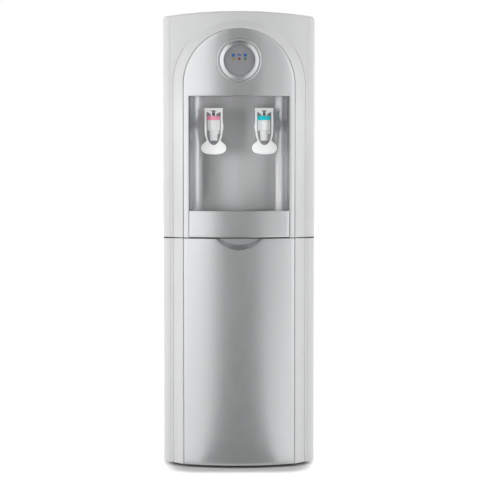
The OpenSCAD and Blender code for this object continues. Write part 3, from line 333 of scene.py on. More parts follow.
def dense(loop, step):
    """A closed loop with no segment longer than a step."""
    out = []
    for (x0, z0), (x1, z1) in zip(loop, loop[1:] + loop[:1]):
        parts = max(1, math.ceil(math.hypot(x1 - x0, z1 - z0) / step))
        out += [(x0 + (x1 - x0) * k / parts, z0 + (z1 - z0) * k / parts) for k in range(parts)]
    return out


def inset(loop, distance):
    """A closed loop moved to its left, which is inwards for one that runs anticlockwise."""
    out = []
    for i, (x, z) in enumerate(loop):
        before, after = loop[i - 1], loop[(i + 1) % len(loop)]
        a, b = Vector((x - before[0], z - before[1])), Vector((after[0] - x, after[1] - z))
        a.normalize()
        b.normalize()
        turn = max(1 + a.dot(b), 0.3)
        out.append((x - distance * (a.y + b.y) / turn, z + distance * (a.x + b.x) / turn))
    return out


def arc(cx, cz, r, start, end, steps):
    """Points on a circle, its angles in degrees."""
    angles = [math.radians(start + (end - start) * k / steps) for k in range(steps + 1)]
    return [(cx + r * math.cos(a), cz + r * math.sin(a)) for a in angles]


def inside(loops, x, z):
    crossed = False
    for loop in loops:
        for (x0, z0), (x1, z1) in zip(loop, loop[1:] + loop[:1]):
            if (z0 > z) != (z1 > z) and x < x0 + (x1 - x0) * (z - z0) / (z1 - z0):
                crossed = not crossed
    return crossed


def sheet(loops, step, edge, thick, place):
    """A sheet with rounded edges: its loops run anticlockwise, holes clockwise.

    place turns a point of the outline and a depth below the front into a point in space.
    """
    face_loops = [inset(loop, edge) for loop in loops]
    margin = [inset(loop, edge + step * 0.4) for loop in loops]
    points = [Vector(p) for loop in face_loops for p in loop]
    edges, start = [], 0
    for loop in face_loops:
        n = len(loop)
        edges += [(start + i, start + (i + 1) % n) for i in range(n)]
        start += n
    low = [min(p[k] for p in loops[0]) for k in (0, 1)]
    high = [max(p[k] for p in loops[0]) for k in (0, 1)]
    columns, rows = (math.ceil((high[k] - low[k]) / step) for k in (0, 1))
    for i in range(1, columns):
        for j in range(1, rows):
            x = low[0] + (high[0] - low[0]) * i / columns
            z = low[1] + (high[1] - low[1]) * j / rows
            if inside(margin, x, z):
                points.append(Vector((x, z)))
    flat, _, triangles, *_ = delaunay_2d_cdt(points, edges, [], 0, 1e-5)
    kept = []
    for tri in triangles:
        x, z = (sum(flat[i][k] for i in tri) / 3 for k in (0, 1))
        if inside(face_loops, x, z):
            kept.append(list(tri))
    shells = [
        ([place(p[0], p[1], 0) for p in flat], kept),
        ([place(p[0], p[1], thick) for p in flat], [list(reversed(t)) for t in kept]),
    ]
    turns = [math.radians(a) for a in (0, 22.5, 45, 67.5, 90)]
    rows = [(edge * (1 - math.sin(a)), edge * (1 - math.cos(a))) for a in turns]
    rows += [(i, thick - d) for i, d in reversed(rows)]
    for loop in loops:
        rim = [[place(x, z, d) for x, z in inset(loop, i)] for i, d in rows]
        shells.append(([p for row in rim for p in row], ring_faces(len(rim), len(loop))))
    return join(*shells)


def on_silver(x, z, depth):
    return (x, silver_y(x) + depth, z)


# Materials: every pattern is laid out in metres from the object's own coordinates


def linear(hex_value):
    """An sRGB hex colour as linear light."""
    def part(v):
        return v / 12.92 if v <= 0.04045 else ((v + 0.055) / 1.055) ** 2.4
    return [part(int(hex_value[i:i + 2], 16) / 255) for i in (1, 3, 5)] + [1.0]


def chosen(name):
    """A colour of the panel as an sRGB hex value."""
    colour = getattr(bpy.context.scene.cooler_colours, name)
    return "#" + "".join(f"{round(c * 255):02X}" for c in colour)


def add(tree, kind, settings=None, links=None):
    """Adds a node, sets its properties and sockets, and links its inputs."""
    node = tree.nodes.new(kind)
    for key, value in (settings or {}).items():
        if isinstance(key, str) and hasattr(node, key):
            setattr(node, key, value)
        else:
            node.inputs[key].default_value = value
    for key, source in (links or {}).items():
        tree.links.new(source, node.inputs[key])
    return node


def new_material(name):
    """An empty material with its output, and the object's coordinates in metres."""
    made = bpy.data.materials.new(name)
    made.use_nodes = True
    tree = made.node_tree
    tree.nodes.clear()
    place = add(tree, "ShaderNodeTexCoord").outputs["Object"]
    return made, tree, place


def shade(tree, settings, links):
    """A Principled shader wired to the output."""
    shader = add(tree, "ShaderNodeBsdfPrincipled", settings, links)
    add(tree, "ShaderNodeOutputMaterial", None, {"Surface": shader.outputs[0]})


def mottle(tree, place, millimetres, low, high, detail=3.0, stretch=(1, 1, 1)):
    """Noise of a real grain size, mapped to a range of values."""
    spread = add(tree, "ShaderNodeMapping", {"Scale": stretch}, {"Vector": place})
    noise = add(tree, "ShaderNodeTexNoise", {"Scale": MM / millimetres, "Detail": detail},
                {"Vector": spread.outputs[0]})
    return add(tree, "ShaderNodeMapRange", {"From Min": 0.3, "From Max": 0.7, "To Min": low, "To Max": high},
               {"Value": noise.outputs["Fac"]}).outputs["Result"]


def two_tones(tree, factor, first, second):
    """A colour between two, chosen by a factor."""
    mix = add(tree, "ShaderNodeMix", {"data_type": "RGBA"}, {0: factor})
    mix.inputs[6].default_value = linear(first)
    mix.inputs[7].default_value = linear(second)
    return mix.outputs[2]


def bump(tree, height, millimetres, strength=1.0):
    return add(tree, "ShaderNodeBump", {"Strength": strength, "Distance": millimetres / MM},
               {"Height": height}).outputs[0]


def moulded(name, base, roughness, grain=1.6, coat=0.0):
    """Moulded plastic: a faint orange peel breaks up its highlights, and its gloss varies a little."""
    made, tree, place = new_material(name)
    peel = mottle(tree, place, grain, 0, 1, 2.0)
    broad = mottle(tree, place, 60, 0, 1, 2.0)
    shade(tree, {"IOR": 1.53, "Coat Weight": coat, "Coat Roughness": 0.12}, {
        "Base Color": two_tones(tree, broad, darker(base, 0.993), base),
        "Roughness": mottle(tree, place, 25, roughness - 0.02, roughness + 0.02),
        "Normal": bump(tree, peel, 0.02),
    })
    return made


def darker(hex_value, factor):
    return "#" + "".join(f"{min(255, round(int(hex_value[i:i + 2], 16) * factor)):02X}" for i in (1, 3, 5))


def brushed(name, base, roughness, along, line):
    """Brushed or rolled metal: fine lines along one direction spread the highlight across them."""
    made, tree, place = new_material(name)
    stretch = [0.03 if axis == along else 1 for axis in "xyz"]
    lines = mottle(tree, place, line, 0, 1, 4.0, stretch)
    cloud = mottle(tree, place, 40, 0, 1, 2.0)
    shade(tree, {"Metallic": 1.0}, {
        "Base Color": two_tones(tree, cloud, darker(base, 0.94), base),
        "Roughness": mottle(tree, place, line * 2, roughness - 0.05, roughness + 0.06, 3.0, stretch),
        "Normal": bump(tree, lines, 0.004),
    })
    return made


def powder_coated(name, base):
    """Powder-coated steel: the coat's pebbled skin, 2.5 mm across, is soft to the eye."""
    made, tree, place = new_material(name)
    pebble = mottle(tree, place, 2.5, 0, 1, 1.0)
    shade(tree, {"IOR": 1.5}, {
        "Base Color": two_tones(tree, mottle(tree, place, 90, 0, 1), darker(base, 0.98), base),
        "Roughness": mottle(tree, place, 30, 0.38, 0.46),
        "Normal": bump(tree, pebble, 0.05),
    })
    return made


def silver_painted(name, base):
    """ABS with metallic silver paint: flakes of about 0.3 mm, drawn at 0.8 mm to show, glint
    under a clear top coat, so the bow reads as a soft band of light and dark."""
    made, tree, place = new_material(name)
    flakes = add(tree, "ShaderNodeTexVoronoi", {"Scale": MM / 0.8}, {"Vector": place})
    glint = add(tree, "ShaderNodeMapRange", {"To Min": 0.0, "To Max": 1.0},
                {"Value": flakes.outputs["Distance"]}).outputs["Result"]
    shade(tree, {"Metallic": 0.97, "Coat Weight": 0.25, "Coat Roughness": 0.08}, {
        "Base Color": two_tones(tree, glint, base, darker(base, 0.95)),
        "Roughness": mottle(tree, place, 18, 0.30, 0.35),
        "Normal": bump(tree, glint, 0.006),
    })
    return made


def polished_sheet(name, base):
    """Stainless steel with a bright finish: slight waves of the pressed sheet bend its reflections,
    and broad darker patches, drawn tall, are painted reflections that keep the flat back from looking like
    paper."""
    made, tree, place = new_material(name)
    wave = mottle(tree, place, 70, 0, 1, 1.0, (1, 1, 0.25))
    # Broad patches stretched upright darken the colour: painted dark reflections and streaks
    painted_reflection_patches = mottle(tree, place, 48, 0, 1, 1.0, (1, 1, 0.15))
    shade(tree, {"Metallic": 0.7}, {
        "Base Color": two_tones(tree, painted_reflection_patches, darker(base, 0.86), base),
        "Roughness": mottle(tree, place, 1.2, 0.21, 0.24, 3.0, (1, 1, 0.03)),
        "Normal": bump(tree, wave, 0.12, 0.6),
    })
    return made


def enamelled(name, base):
    """Black enamel on tube and wire: glossy, with the drips and thin spots of dipping."""
    made, tree, place = new_material(name)
    shade(tree, {"IOR": 1.5, "Coat Weight": 0.4, "Coat Roughness": 0.15}, {
        "Base Color": two_tones(tree, mottle(tree, place, 12, 0, 1), base, darker(base, 1.6)),
        "Roughness": mottle(tree, place, 9, 0.25, 0.42),
        "Normal": bump(tree, mottle(tree, place, 4, 0, 1, 1.0), 0.06),
    })
    return made


def rubber(name, base):
    """Moulded rubber: matt, a little dusty."""
    made, tree, place = new_material(name)
    shade(tree, {"IOR": 1.5}, {
        "Base Color": two_tones(tree, mottle(tree, place, 6, 0, 1, 5.0), base, darker(base, 1.35)),
        "Roughness": mottle(tree, place, 5, 0.62, 0.8),
        "Normal": bump(tree, mottle(tree, place, 0.9, 0, 1), 0.03),
    })
    return made


def foamed(name, base):
    """Foam jacket: beads of 5 mm, matt."""
    made, tree, place = new_material(name)
    beads = add(tree, "ShaderNodeTexVoronoi", {"Scale": MM / 5}, {"Vector": place}).outputs["Distance"]
    shade(tree, {"IOR": 1.4}, {
        "Base Color": two_tones(tree, beads, darker(base, 1.2), base),
        "Roughness": mottle(tree, place, 8, 0.75, 0.9),
        "Normal": bump(tree, beads, 0.4, 0.5),
    })
    return made


def lens(name, base):
    """Tinted clear plastic of an unlit lamp: deep colour with a sharp highlight."""
    made, tree, place = new_material(name)
    shade(tree, {"IOR": 1.49, "Coat Weight": 0.6, "Coat Roughness": 0.04}, {
        "Base Color": two_tones(tree, mottle(tree, place, 3, 0, 1), darker(base, 0.8), base),
        "Roughness": mottle(tree, place, 2, 0.12, 0.2),
    })
    return made


def circuit_board(name, base):
    """Solder mask over copper tracks of 1.5 mm."""
    made, tree, place = new_material(name)
    tracks = add(tree, "ShaderNodeTexBrick", {"Scale": MM / 12, "Mortar Size": 0.06}, {"Vector": place})
    shade(tree, {"IOR": 1.5}, {
        "Base Color": two_tones(tree, tracks.outputs["Fac"], base, darker(base, 1.5)),
        "Roughness": mottle(tree, place, 6, 0.3, 0.45),
    })
    return made


# The finish of each material slot of the record
FINISHES = {
    "white_steel": lambda: powder_coated("powder_coated_steel", chosen("panel")),
    "galvanised_steel": lambda: brushed("zinc_coated_steel", "#A9ADB0", 0.42, "z", line=3.0),
    "white_plastic": lambda: moulded("moulded_white_abs", chosen("white"), 0.30, coat=0.2),
    "bin_plastic": lambda: moulded("moulded_grey_polypropylene", "#C4C6C8", 0.48, grain=1.0),
    "silver_plastic": lambda: silver_painted("silver_painted_abs", chosen("silver")),
    "grey_plastic": lambda: moulded("satin_grey_polycarbonate", chosen("disc"), 0.42, grain=0.8),
    "stainless_steel": lambda: polished_sheet("polished_stainless_steel", chosen("steel")),
    "amber_lens": lambda: lens("amber_acrylic", "#A8A000"),
    "red_lens": lambda: lens("red_acrylic", "#9C0404"),
    "green_lens": lambda: lens("green_acrylic", "#2C7434"),
    "circuit_board": lambda: circuit_board("solder_mask", "#0E5A34"),
    "pink_plastic": lambda: moulded("moulded_pink_abs", chosen("hot"), 0.34),
    "blue_plastic": lambda: moulded("moulded_cyan_abs", chosen("cold"), 0.34),
    "black_rubber": lambda: rubber("moulded_black_rubber", "#1B1B1C"),
    "seal_rubber": lambda: rubber("moulded_seal_rubber", "#4A4A4C"),
    "silicone": lambda: moulded("extruded_silicone", "#E4E0D4", 0.5, grain=3.0),
    "copper": lambda: brushed("drawn_copper", "#C98563", 0.32, "x", line=2.0),
    "foam": lambda: foamed("closed_cell_foam", "#4B4B4E"),
    "heater_steel": lambda: brushed("dull_steel_band", "#8A8886", 0.5, "z", line=1.5),
    "black_enamel": lambda: enamelled("black_enamelled_steel", "#18191A"),
    "black_plastic": lambda: moulded("moulded_black_nylon", "#1E1F20", 0.45, grain=1.0),
    "grey_valve": lambda: moulded("moulded_grey_nylon", "#CFCBBE", 0.5, grain=1.2),
    "magnet": lambda: rubber("bonded_ferrite", "#343231"),
    "red_plastic": lambda: moulded("moulded_red_polycarbonate", "#B3201C", 0.3),
    "green_plastic": lambda: moulded("moulded_green_polycarbonate", "#1F8A3C", 0.3),
}
MADE = {}


def finish(slot):
    """The material of a slot, made once."""
    if slot not in MADE:
        MADE[slot] = FINISHES[slot]()
    return MADE[slot]


def dress(name, shell, slot, body, replaced=(), sharp=38):
    """A piece that takes its finish from a slot of the record."""
    made = piece(name, shell, finish(slot), body, replaced, sharp)
    return made


# The white mouldings


def rounded_rows(z, edge, up):
    """Heights and insets of a rounded end at a height, in order from the end or towards it."""
    turns = [math.radians(a) for a in (0, 30, 60, 90)]
    rows = [(z + (edge if up else -edge) * (1 - math.cos(a)), edge * (1 - math.sin(a))) for a in turns]
    return rows if up else rows[::-1]


def outward(reach_r):
    """Radii from the band's outer edge to the outline, closer together towards the outline."""
    outer = band_edges()[1]
    return [outer + (reach_r - outer) * math.sin(math.pi / 2 * k / 22) for k in range(1, 23)]


def front_section(nx, nz, middle_z, reach_r, top_edge):
    """One closed section of the white moulding, as (radius, y) points measured along [nx, nz]."""
    inner, outer = band_edges()
    wall, rear = size("white_wall"), FRONT_Y + size("reach")
    set_back = size("silver_sheet") + SHEET_GAP

    def shell_y(r):
        x, z = r * nx, middle_z + r * nz
        y = plan_y(x)
        if top_edge:
            drop = max(0.0, min(top_edge, top_edge - (crown_z(x) - z)))
            y += top_edge - math.sqrt(top_edge ** 2 - drop ** 2)
        return min(y, rear)

    # The band starts with a rounded turn, and a ledge of 2 mm reaches in behind the silver sheet
    turn, thick, ledge_r = 0.9, 2, inner - 6.9
    front = [(inner, silver_y(inner * nx) + set_back)]
    front += [(inner + turn * (1 - math.cos(a)), band_y(inner + turn, nx, nz) + turn * (1 - math.sin(a)))
              for a in (0.0, 0.5, 1.0, math.pi / 2)]
    across = [inner + turn + (outer - inner - turn) * k / 30 for k in range(1, 31)]
    # Finer steps over the lip and the groove
    across += [inner + size("ramp") - 1 + 0.37 * k for k in range(14)]
    front += [(r, band_y(r, nx, nz)) for r in sorted(across)]
    front += [(r, shell_y(r)) for r in outward(reach_r)]
    front += [(reach_r, shell_y(reach_r) + (rear - shell_y(reach_r)) * k / 3) for k in (1, 2, 3)]
    back = [(reach_r - wall, rear)]
    for k in range(1, 9):
        r = reach_r - wall - (reach_r - wall - inner) * k / 8
        y = shell_y(r) if r > outer else band_y(max(r, inner + turn), nx, nz)
        back.append((r, min(y, rear - 2) + wall))
    ledge = [(inner, silver_y(inner * nx) + set_back + thick),
             (ledge_r, silver_y(ledge_r * nx) + set_back + thick), (ledge_r, silver_y(ledge_r * nx) + set_back)]
    return front + back + ledge


def outline_radius(nx, nz, middle_z):
    """The distance from the arch's centre to the cabinet's outline."""
    low, high = band_edges()[1], 2 * HALF_W
    for _ in range(40):
        r = (low + high) / 2
        x = abs(r * nx)
        if x < HALF_W and middle_z + r * nz < crown_z(x):
            low = r
        else:
            high = r
    return low


def corner_beads(low, high):
    """Fine upright beads where the front turns to the sides, between two heights."""
    shells = []
    for side in (-1, 1):
        y = plan_y(BEAD_X) + BEAD_SINK
        rings = [[(side * (BEAD_X + BEAD_R * math.cos(a)), y + BEAD_R * math.sin(a), z)
                  for a in [math.pi * k / 12 for k in range(24)]]
                 for z in [low + (high - low) * k / 12 for k in range(13)]]
        shells.append(loft(rings))
    return join(*shells)


class COOLER_OT_upper_frame(bpy.types.Operator):
    """The white upper front: a shell round the outside and the raised band round the arch"""

    bl_idname = "cooler.upper_frame"
    bl_label = "Upper front frame"

    def execute(self, context):
        middle, edge = arch_z(), size("top_edge")
        leg = front_section(1, 0, middle, HALF_W, 0)
        heights = rounded_rows(FRONT_Z, END_ROUND, True)
        heights += [(FRONT_Z + (middle - FRONT_Z) * k / 14, 0) for k in range(1, 14)]
        rows = [(z, inset(leg, i)) for z, i in heights]
        # Finer steps where the outline passes the upper corners
        angles = [90 * k / 48 for k in range(49)] + [39 + 0.3 * k for k in range(21)]
        angles = sorted({round(a, 3) for a in angles})
        left = [[(-r, y, z) for r, y in row] for z, row in rows]
        arch = []
        for a in angles + [180 - a for a in reversed(angles[:-1])]:
            nx, nz = math.cos(math.radians(a)), math.sin(math.radians(a))
            section = front_section(abs(nx), nz, middle, outline_radius(abs(nx), nz, middle), edge)
            arch.append([(-r * nx, y, middle + r * nz) for r, y in section])
        right = [[(-x, y, z) for x, y, z in ring] for ring in reversed(left)]
        shell = join(loft(left + arch + right), corner_beads(FRONT_Z + SEAM_IN, crown_z(BEAD_X) - 4))
        dress("upper_front_moulding", shell, "white_plastic", "cabinet", ["upper_front_frame"])
        return {"FINISHED"}


def door_fall(y):
    """How much lower the door's top lies at a depth. From 20 mm behind the front it falls by 1 in 25,
    because the rear rises as the door tilts."""
    return 0.04 * max(0, y - FRONT_Y - 20)


def bowed_wall(x0, x1, steps, low, high):
    """A wall of 2 mm behind the door skin, between two places across and two heights."""
    back = size("silver_sheet") + SHEET_GAP
    across = [x0 + (x1 - x0) * k / steps for k in range(steps + 1)]
    return slab([[(x, silver_y(x) + back, z) for x in across] for z in (low, high)], (0, 2, 0))


def top_flange():
    """The flange along the door's top, set back behind the scoop."""
    thick, edge_x = 2.4, HALF_W - 3
    front, rear = [], []
    for k in range(65):
        x = -edge_x + 2 * edge_x * k / 64
        near = max(plan_y(x) + 2, silver_y(x) + 5) if abs(x) > SCOOP_HALF + 6 else silver_y(x) + 17
        for row, y in ((front, near), (rear, max(FRONT_Y + 45, near + 1))):
            row.append((x, y, DOOR_TOP - thick - door_fall(y)))
    return slab([front, rear], (0, 0, thick))


def dip(x, half, drop):
    """The height at x of a round dip in the door's top, from half its width and its drop."""
    radius = (half ** 2 + drop ** 2) / (2 * drop)
    return DOOR_TOP - drop + radius - math.sqrt(radius ** 2 - x * x)


def scoop():
    """The finger scoop: a sloping wall from the skin to a flat inner face, open at the top."""
    columns, slope_rows, face_rows = 72, 7, 4
    grid = []
    for row in range(slope_rows + face_rows + 1):
        points = []
        for k in range(columns + 1):
            u = -math.cos(math.pi * k / columns)
            # The wall starts a little outside the cut in the skin, and behind it
            x0, x1 = (SCOOP_HALF + 0.3) * u, INNER_HALF * u
            z0 = min(dip(SCOOP_HALF * u, SCOOP_HALF, SCOOP_DROP) - 0.3, DOOR_TOP)
            z1 = min(dip(x1, INNER_HALF, INNER_DROP), DOOR_TOP)
            y0, y1 = silver_y(x0) + 0.6, FRONT_Y + INNER_DEPTH
            if row <= slope_rows:
                t = row / slope_rows
                swell = 0.12 * math.sin(math.pi * t)
                points.append((x0 + (x1 - x0) * t, y0 + (y1 - y0) * (t + swell * (1 - t)), z0 + (z1 - z0) * t))
            else:
                t = (row - slope_rows) / face_rows
                points.append((x1, y1, z1 + (DOOR_TOP - z1) * t))
        grid.append(points)
    return slab(grid, (0, 1.5, 0))


class COOLER_OT_door(bpy.types.Operator):
    """The tilting door: white side bands, the wall behind the skin, and the silver skin with its scoop"""

    bl_idname = "cooler.door"
    bl_label = "Door"

    def execute(self, context):
        leg = front_section(1, 0, arch_z(), HALF_W, 0)
        rows = rounded_rows(DOOR_LOW, END_ROUND, True) + rounded_rows(DOOR_TOP, END_ROUND, False)
        shells = []
        for side in (-1, 1):
            rings = [[(side * r, y, z - door_fall(y) if z > DOOR_TOP - 1 else z) for r, y in inset(leg, i)]
                     for z, i in rows]
            shells.append(loft(rings))
        shells.append(corner_beads(DOOR_LOW + SEAM_IN, DOOR_TOP - SEAM_IN))
        half, clear = band_edges()[0] - 1, SCOOP_HALF + 8
        shells.append(bowed_wall(-half, half, 48, DOOR_LOW + 0.5, DOOR_TOP - SCOOP_ROOM))
        for side in (-1, 1):
            shells.append(bowed_wall(side * clear, side * half, 16, DOOR_TOP - SCOOP_ROOM, DOOR_TOP - 2.5))
        shells.append(top_flange())
        for side in (-1, 1):
            end = side * KNUCKLE_LONG
            profile = [(BORE_R, 0), (BORE_R, end), (KNUCKLE_R, end), (KNUCKLE_R, 0)]
            centre = (side * KNUCKLE_X, FRONT_Y + HINGE_DEPTH, HINGE_Z)
            shells.append(spin(profile, centre, "side", 32))
        dress("door_moulding", join(*shells), "white_plastic", "door", ["door_shell"])
        half = size("silver_width") / 2
        outline = [(-half, DOOR_TOP), (-half, DOOR_LOW), (half, DOOR_LOW), (half, DOOR_TOP)]
        for k in range(65):
            x = SCOOP_HALF * math.cos(math.pi * k / 64)
            outline.append((x, dip(x, SCOOP_HALF, SCOOP_DROP)))
        skin = sheet([dense(outline, 6)], 8, 0.8, size("silver_sheet"), on_silver)
        dress("door_skin_panel", join(skin, scoop()), "silver_plastic", "door", ["door_skin"])
        return {"FINISHED"}


class COOLER_OT_fascia(bpy.types.Operator):
    """The silver arch with its niche opening and the hole for the bezel"""

    bl_idname = "cooler.fascia"
    bl_label = "Fascia panel"

    def execute(self, context):
        half, niche = size("silver_width") / 2, size("niche_width") / 2
        outline = [(niche, FRONT_Z), (half, FRONT_Z)] + arc(0, arch_z(), half, 0, 180, 96)
        outline += [(-half, FRONT_Z), (-niche, FRONT_Z), (-niche, NICHE_TOP), (niche, NICHE_TOP)]
        # The bezel overlaps the edge of its hole by 2.2 mm
        hole = arc(0, CLUSTER_Z, size("bezel") / 2 - 2.2, 360, 0, 72)[:-1]
        shell = sheet([dense(outline, 5), hole], 7, 0.8, size("silver_sheet"), on_silver)
        dress("fascia_arch", shell, "silver_plastic", "cabinet", ["fascia_panel"])
        return {"FINISHED"}


class COOLER_OT_control_cluster(bpy.types.Operator):
    """The round bezel with its bead, the grey disc and three plain marks above the lamps"""

    bl_idname = "cooler.control_cluster"
    bl_label = "Control cluster"

    def execute(self, context):
        centre = (0, FRONT_Y, CLUSTER_Z)
        # The bezel ends in a flange that is 3.2 mm wider, with a round bead
        outer, disc, bead_r = size("bezel") / 2 + 3.2, size("disc") / 2, 1.3
        bead = [(outer - bead_r + bead_r * math.cos(a), 1.0 + bead_r * math.sin(a))
                for a in [math.radians(15 * k) for k in range(13)]]
        ring_out, ring_in, top = disc + 8.6, disc + 0.3, 3.5
        ring = []
        for k in range(19):
            t = k / 18
            rise = 0.55 * t + 0.45 * math.sin(math.pi / 2 * t)
            ring.append((ring_out + (ring_in - ring_out) * t, 0.4 + (top - 0.4) * rise))
        profile = [(outer - 1.5, -4.4), (outer, -3.6)] + bead + [(outer - 2.7, 0.3), (ring_out + 0.2, 0.2)]
        profile += ring + [(ring_in, -2.4), (disc - 3, -2.4), (disc - 3, -9), (disc - 1, -9), (disc - 1, -4.4)]
        dress("bezel_ring", spin(profile, centre, "front", 128), "silver_plastic", "cabinet", ["control_bezel"])
        face, rear = 0.8, -2.3
        rim = [(disc, rear), (disc, face - 0.35), (disc - 0.1, face - 0.1), (disc - 0.4, face)]
        rim += [(r, face) for r in (30, 24, 18, 0.01)] + [(0.01, rear)]
        dress("display_face", spin(rim, centre, "front", 128), "grey_plastic", "cabinet", ["display_disc"])
        half, low, high = 3.3, 7.6, 13.8
        marks = [[(x - half, low), (x + half, low), (x + half, high), (x - half, high)] for x in (-12.6, 12.6)]
        marks.append([(-half, 8.1), (-1.3, 8.1), (-1.3, 10.1), (-0.6, 11.2), (0.6, 11.2), (1.3, 10.1),
                      (1.3, 8.1), (half, 8.1), (half, 11.1), (1.8, 13.6), (-1.8, 13.6), (-half, 11.1)])
        marks = [sheet([dense(mark, 2)], 2, 0.12, 0.4, lambda u, v, d: (u, FRONT_Y - 1.1 + d, CLUSTER_Z + v))
                 for mark in marks]
        blue = moulded("printed_blue_enamel", "#3468B0", 0.35, grain=0.5)
        piece("indicator_marks", join(*marks), blue, "cabinet")
        return {"FINISHED"}


class COOLER_OT_niche(bpy.types.Operator):
    """The stainless liner: two sides and a back, joined by wide curves"""

    bl_idname = "cooler.niche"
    bl_label = "Niche liner"

    def execute(self, context):
        half, r, thick = size("niche_width") / 2, size("niche_corner"), 1.2
        back = FRONT_Y + size("niche_depth")
        start = silver_y(half) + size("silver_sheet") + 0.4
        path = [(-half, start + (back - r - start) * k / 6) for k in range(6)]
        path += arc(-half + r, back - r, r, 180, 90, 24)
        path += [(-half + r + (2 * half - 2 * r) * k / 12, back) for k in range(1, 12)]
        path += arc(half - r, back - r, r, 90, 0, 24)
        path += [(half, back - r - (back - r - start) * k / 6) for k in range(1, 7)]
        outer = []
        for i, (x, y) in enumerate(path):
            before, after = path[max(i - 1, 0)], path[min(i + 1, len(path) - 1)]
            along = Vector((after[0] - before[0], after[1] - before[1])).normalized()
            outer.append((x - along.y * thick, y + along.x * thick))
        ring = path + outer[::-1]
        heights = [NICHE_LOW + (NICHE_TOP - NICHE_LOW) * k / 10 for k in range(11)]
        rings = [[(x, y, z) for x, y in ring] for z in heights]
        dress("niche_sheet", loft(rings), "stainless_steel", "cabinet", ["niche_liner"])
        return {"FINISHED"}


class COOLER_OT_drip_tray(bpy.types.Operator):
    """The bowed silver front of the drip tray"""

    bl_idname = "cooler.drip_tray"
    bl_label = "Drip tray front"

    def execute(self, context):
        # It stands 2 mm higher than the CAD front, and clears the niche by 0.6 mm
        half, top = size("niche_width") / 2 - 0.6, TRAY_TOP + 2
        outline = [(-half, TRAY_LOW), (half, TRAY_LOW), (half, top), (-half, top)]
        shell = sheet([dense(outline, 5)], 7, 0.9, size("silver_sheet"), on_silver)
        dress("tray_face", shell, "silver_plastic", "tray", ["tray_front"])
        return {"FINISHED"}


class COOLER_OT_levers(bpy.types.Operator):
    """The two push levers: a loop round the tap, a paddle, and a top plate with two lugs"""

    bl_idname = "cooler.levers"
    bl_label = "Push levers"

    def execute(self, context):
        for node in ("hot_lever", "cold_lever"):
            low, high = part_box(node)
            x0 = (low.x + high.x) / 2 * MM
            dress(node + "_moulding", lever(x0), "white_plastic", node, [node])
        return {"FINISHED"}


def lever(x0):
    """The lever in its rest place, slanting forward."""
    thick, half, arm = 4.0, 15.3, 4.4
    outer = half + arm
    w, h = size("paddle_width"), size("paddle_height")
    # Heights along the lever, from its pin: its top, where its arms bend in outside and inside,
    # and where the paddle starts. The two bends are parts of ovals of these half heights.
    top, outer_bend, inner_bend, shoulder = 5.6, -36, -44, -65.6
    outer_oval, inner_oval = 40, 29

    def place(u, v, d):
        c, s = math.cos(SLANT), math.sin(SLANT)
        return (x0 + u, PIVOT_Y + (d - thick / 2) * c + v * s, PIVOT_Z - (d - thick / 2) * s + v * c)

    contour = [(-outer, top), (-outer, outer_bend)]
    contour += [(-outer * math.cos(a), outer_bend - outer_oval * math.sin(a))
                for a in (0.15, 0.3, 0.45, 0.6, 0.74)]
    for k in range(25):
        a = math.radians(146 + (270 - 146) * k / 24)
        c, d = math.cos(a), math.sin(a)
        contour.append((w / 2 * math.copysign(abs(c) ** 0.8, c),
                        shoulder - h / 2 + h / 2 * math.copysign(abs(d) ** 0.8, d)))
    contour += [(-u, v) for u, v in reversed(contour[:-1])]
    hollow = [(half, top), (half, inner_bend)]
    hollow += [(half * math.cos(math.radians(a)), inner_bend - inner_oval * math.sin(math.radians(a)))
               for a in range(6, 180, 6)]
    hollow += [(-half, inner_bend), (-half, top)]
    # The arm nearer the middle of the cooler bulges a little
    inward, bulge, bulge_v = -1 if x0 > 0 else 1, 1.8, -32
    outline = [(u + inward * bulge * math.exp(-((v - bulge_v) / 7) ** 2) if u * inward > half + 2 else u, v)
               for u, v in dense(contour + hollow, 3)]
    arms = sheet([outline], 4, 1.3, thick, place)
    bar = [(-outer - 0.3, -7), (outer + 0.3, -7), (outer + 0.3, 13), (-outer - 0.3, 13)]
    plate = sheet([dense(bar, 3)], 4, 1.1, 5, lambda u, v, d: (x0 + u, PIVOT_Y + v, PIVOT_Z + 4.5 + d))
    cheek = [(-3.6, 5.5), (-3.6, -2.0), (-1.6, -3.6), (10.6, -2.8), (12, -1.0), (12, 5.5)]
    lugs = []
    for side in (-1, 1):
        lugs.append(sheet([dense(cheek, 2)], 3, 0.5, 3, lambda u, v, d, s=side:
                          (x0 + s * (6.1 + d), PIVOT_Y + u, PIVOT_Z + v)))
        gusset = [(8.8, 5.5), (8.8, -1.8), (half + 0.4, 1.6), (half + 0.4, 5.5)][::side]
        lugs.append(sheet([dense([(side * u, v) for u, v in gusset], 2)], 3, 0.4, 2.8,
                          lambda u, v, d: (x0 + u, PIVOT_Y - 3.2 + d, PIVOT_Z + v)))
    return join(arms, plate, *lugs)


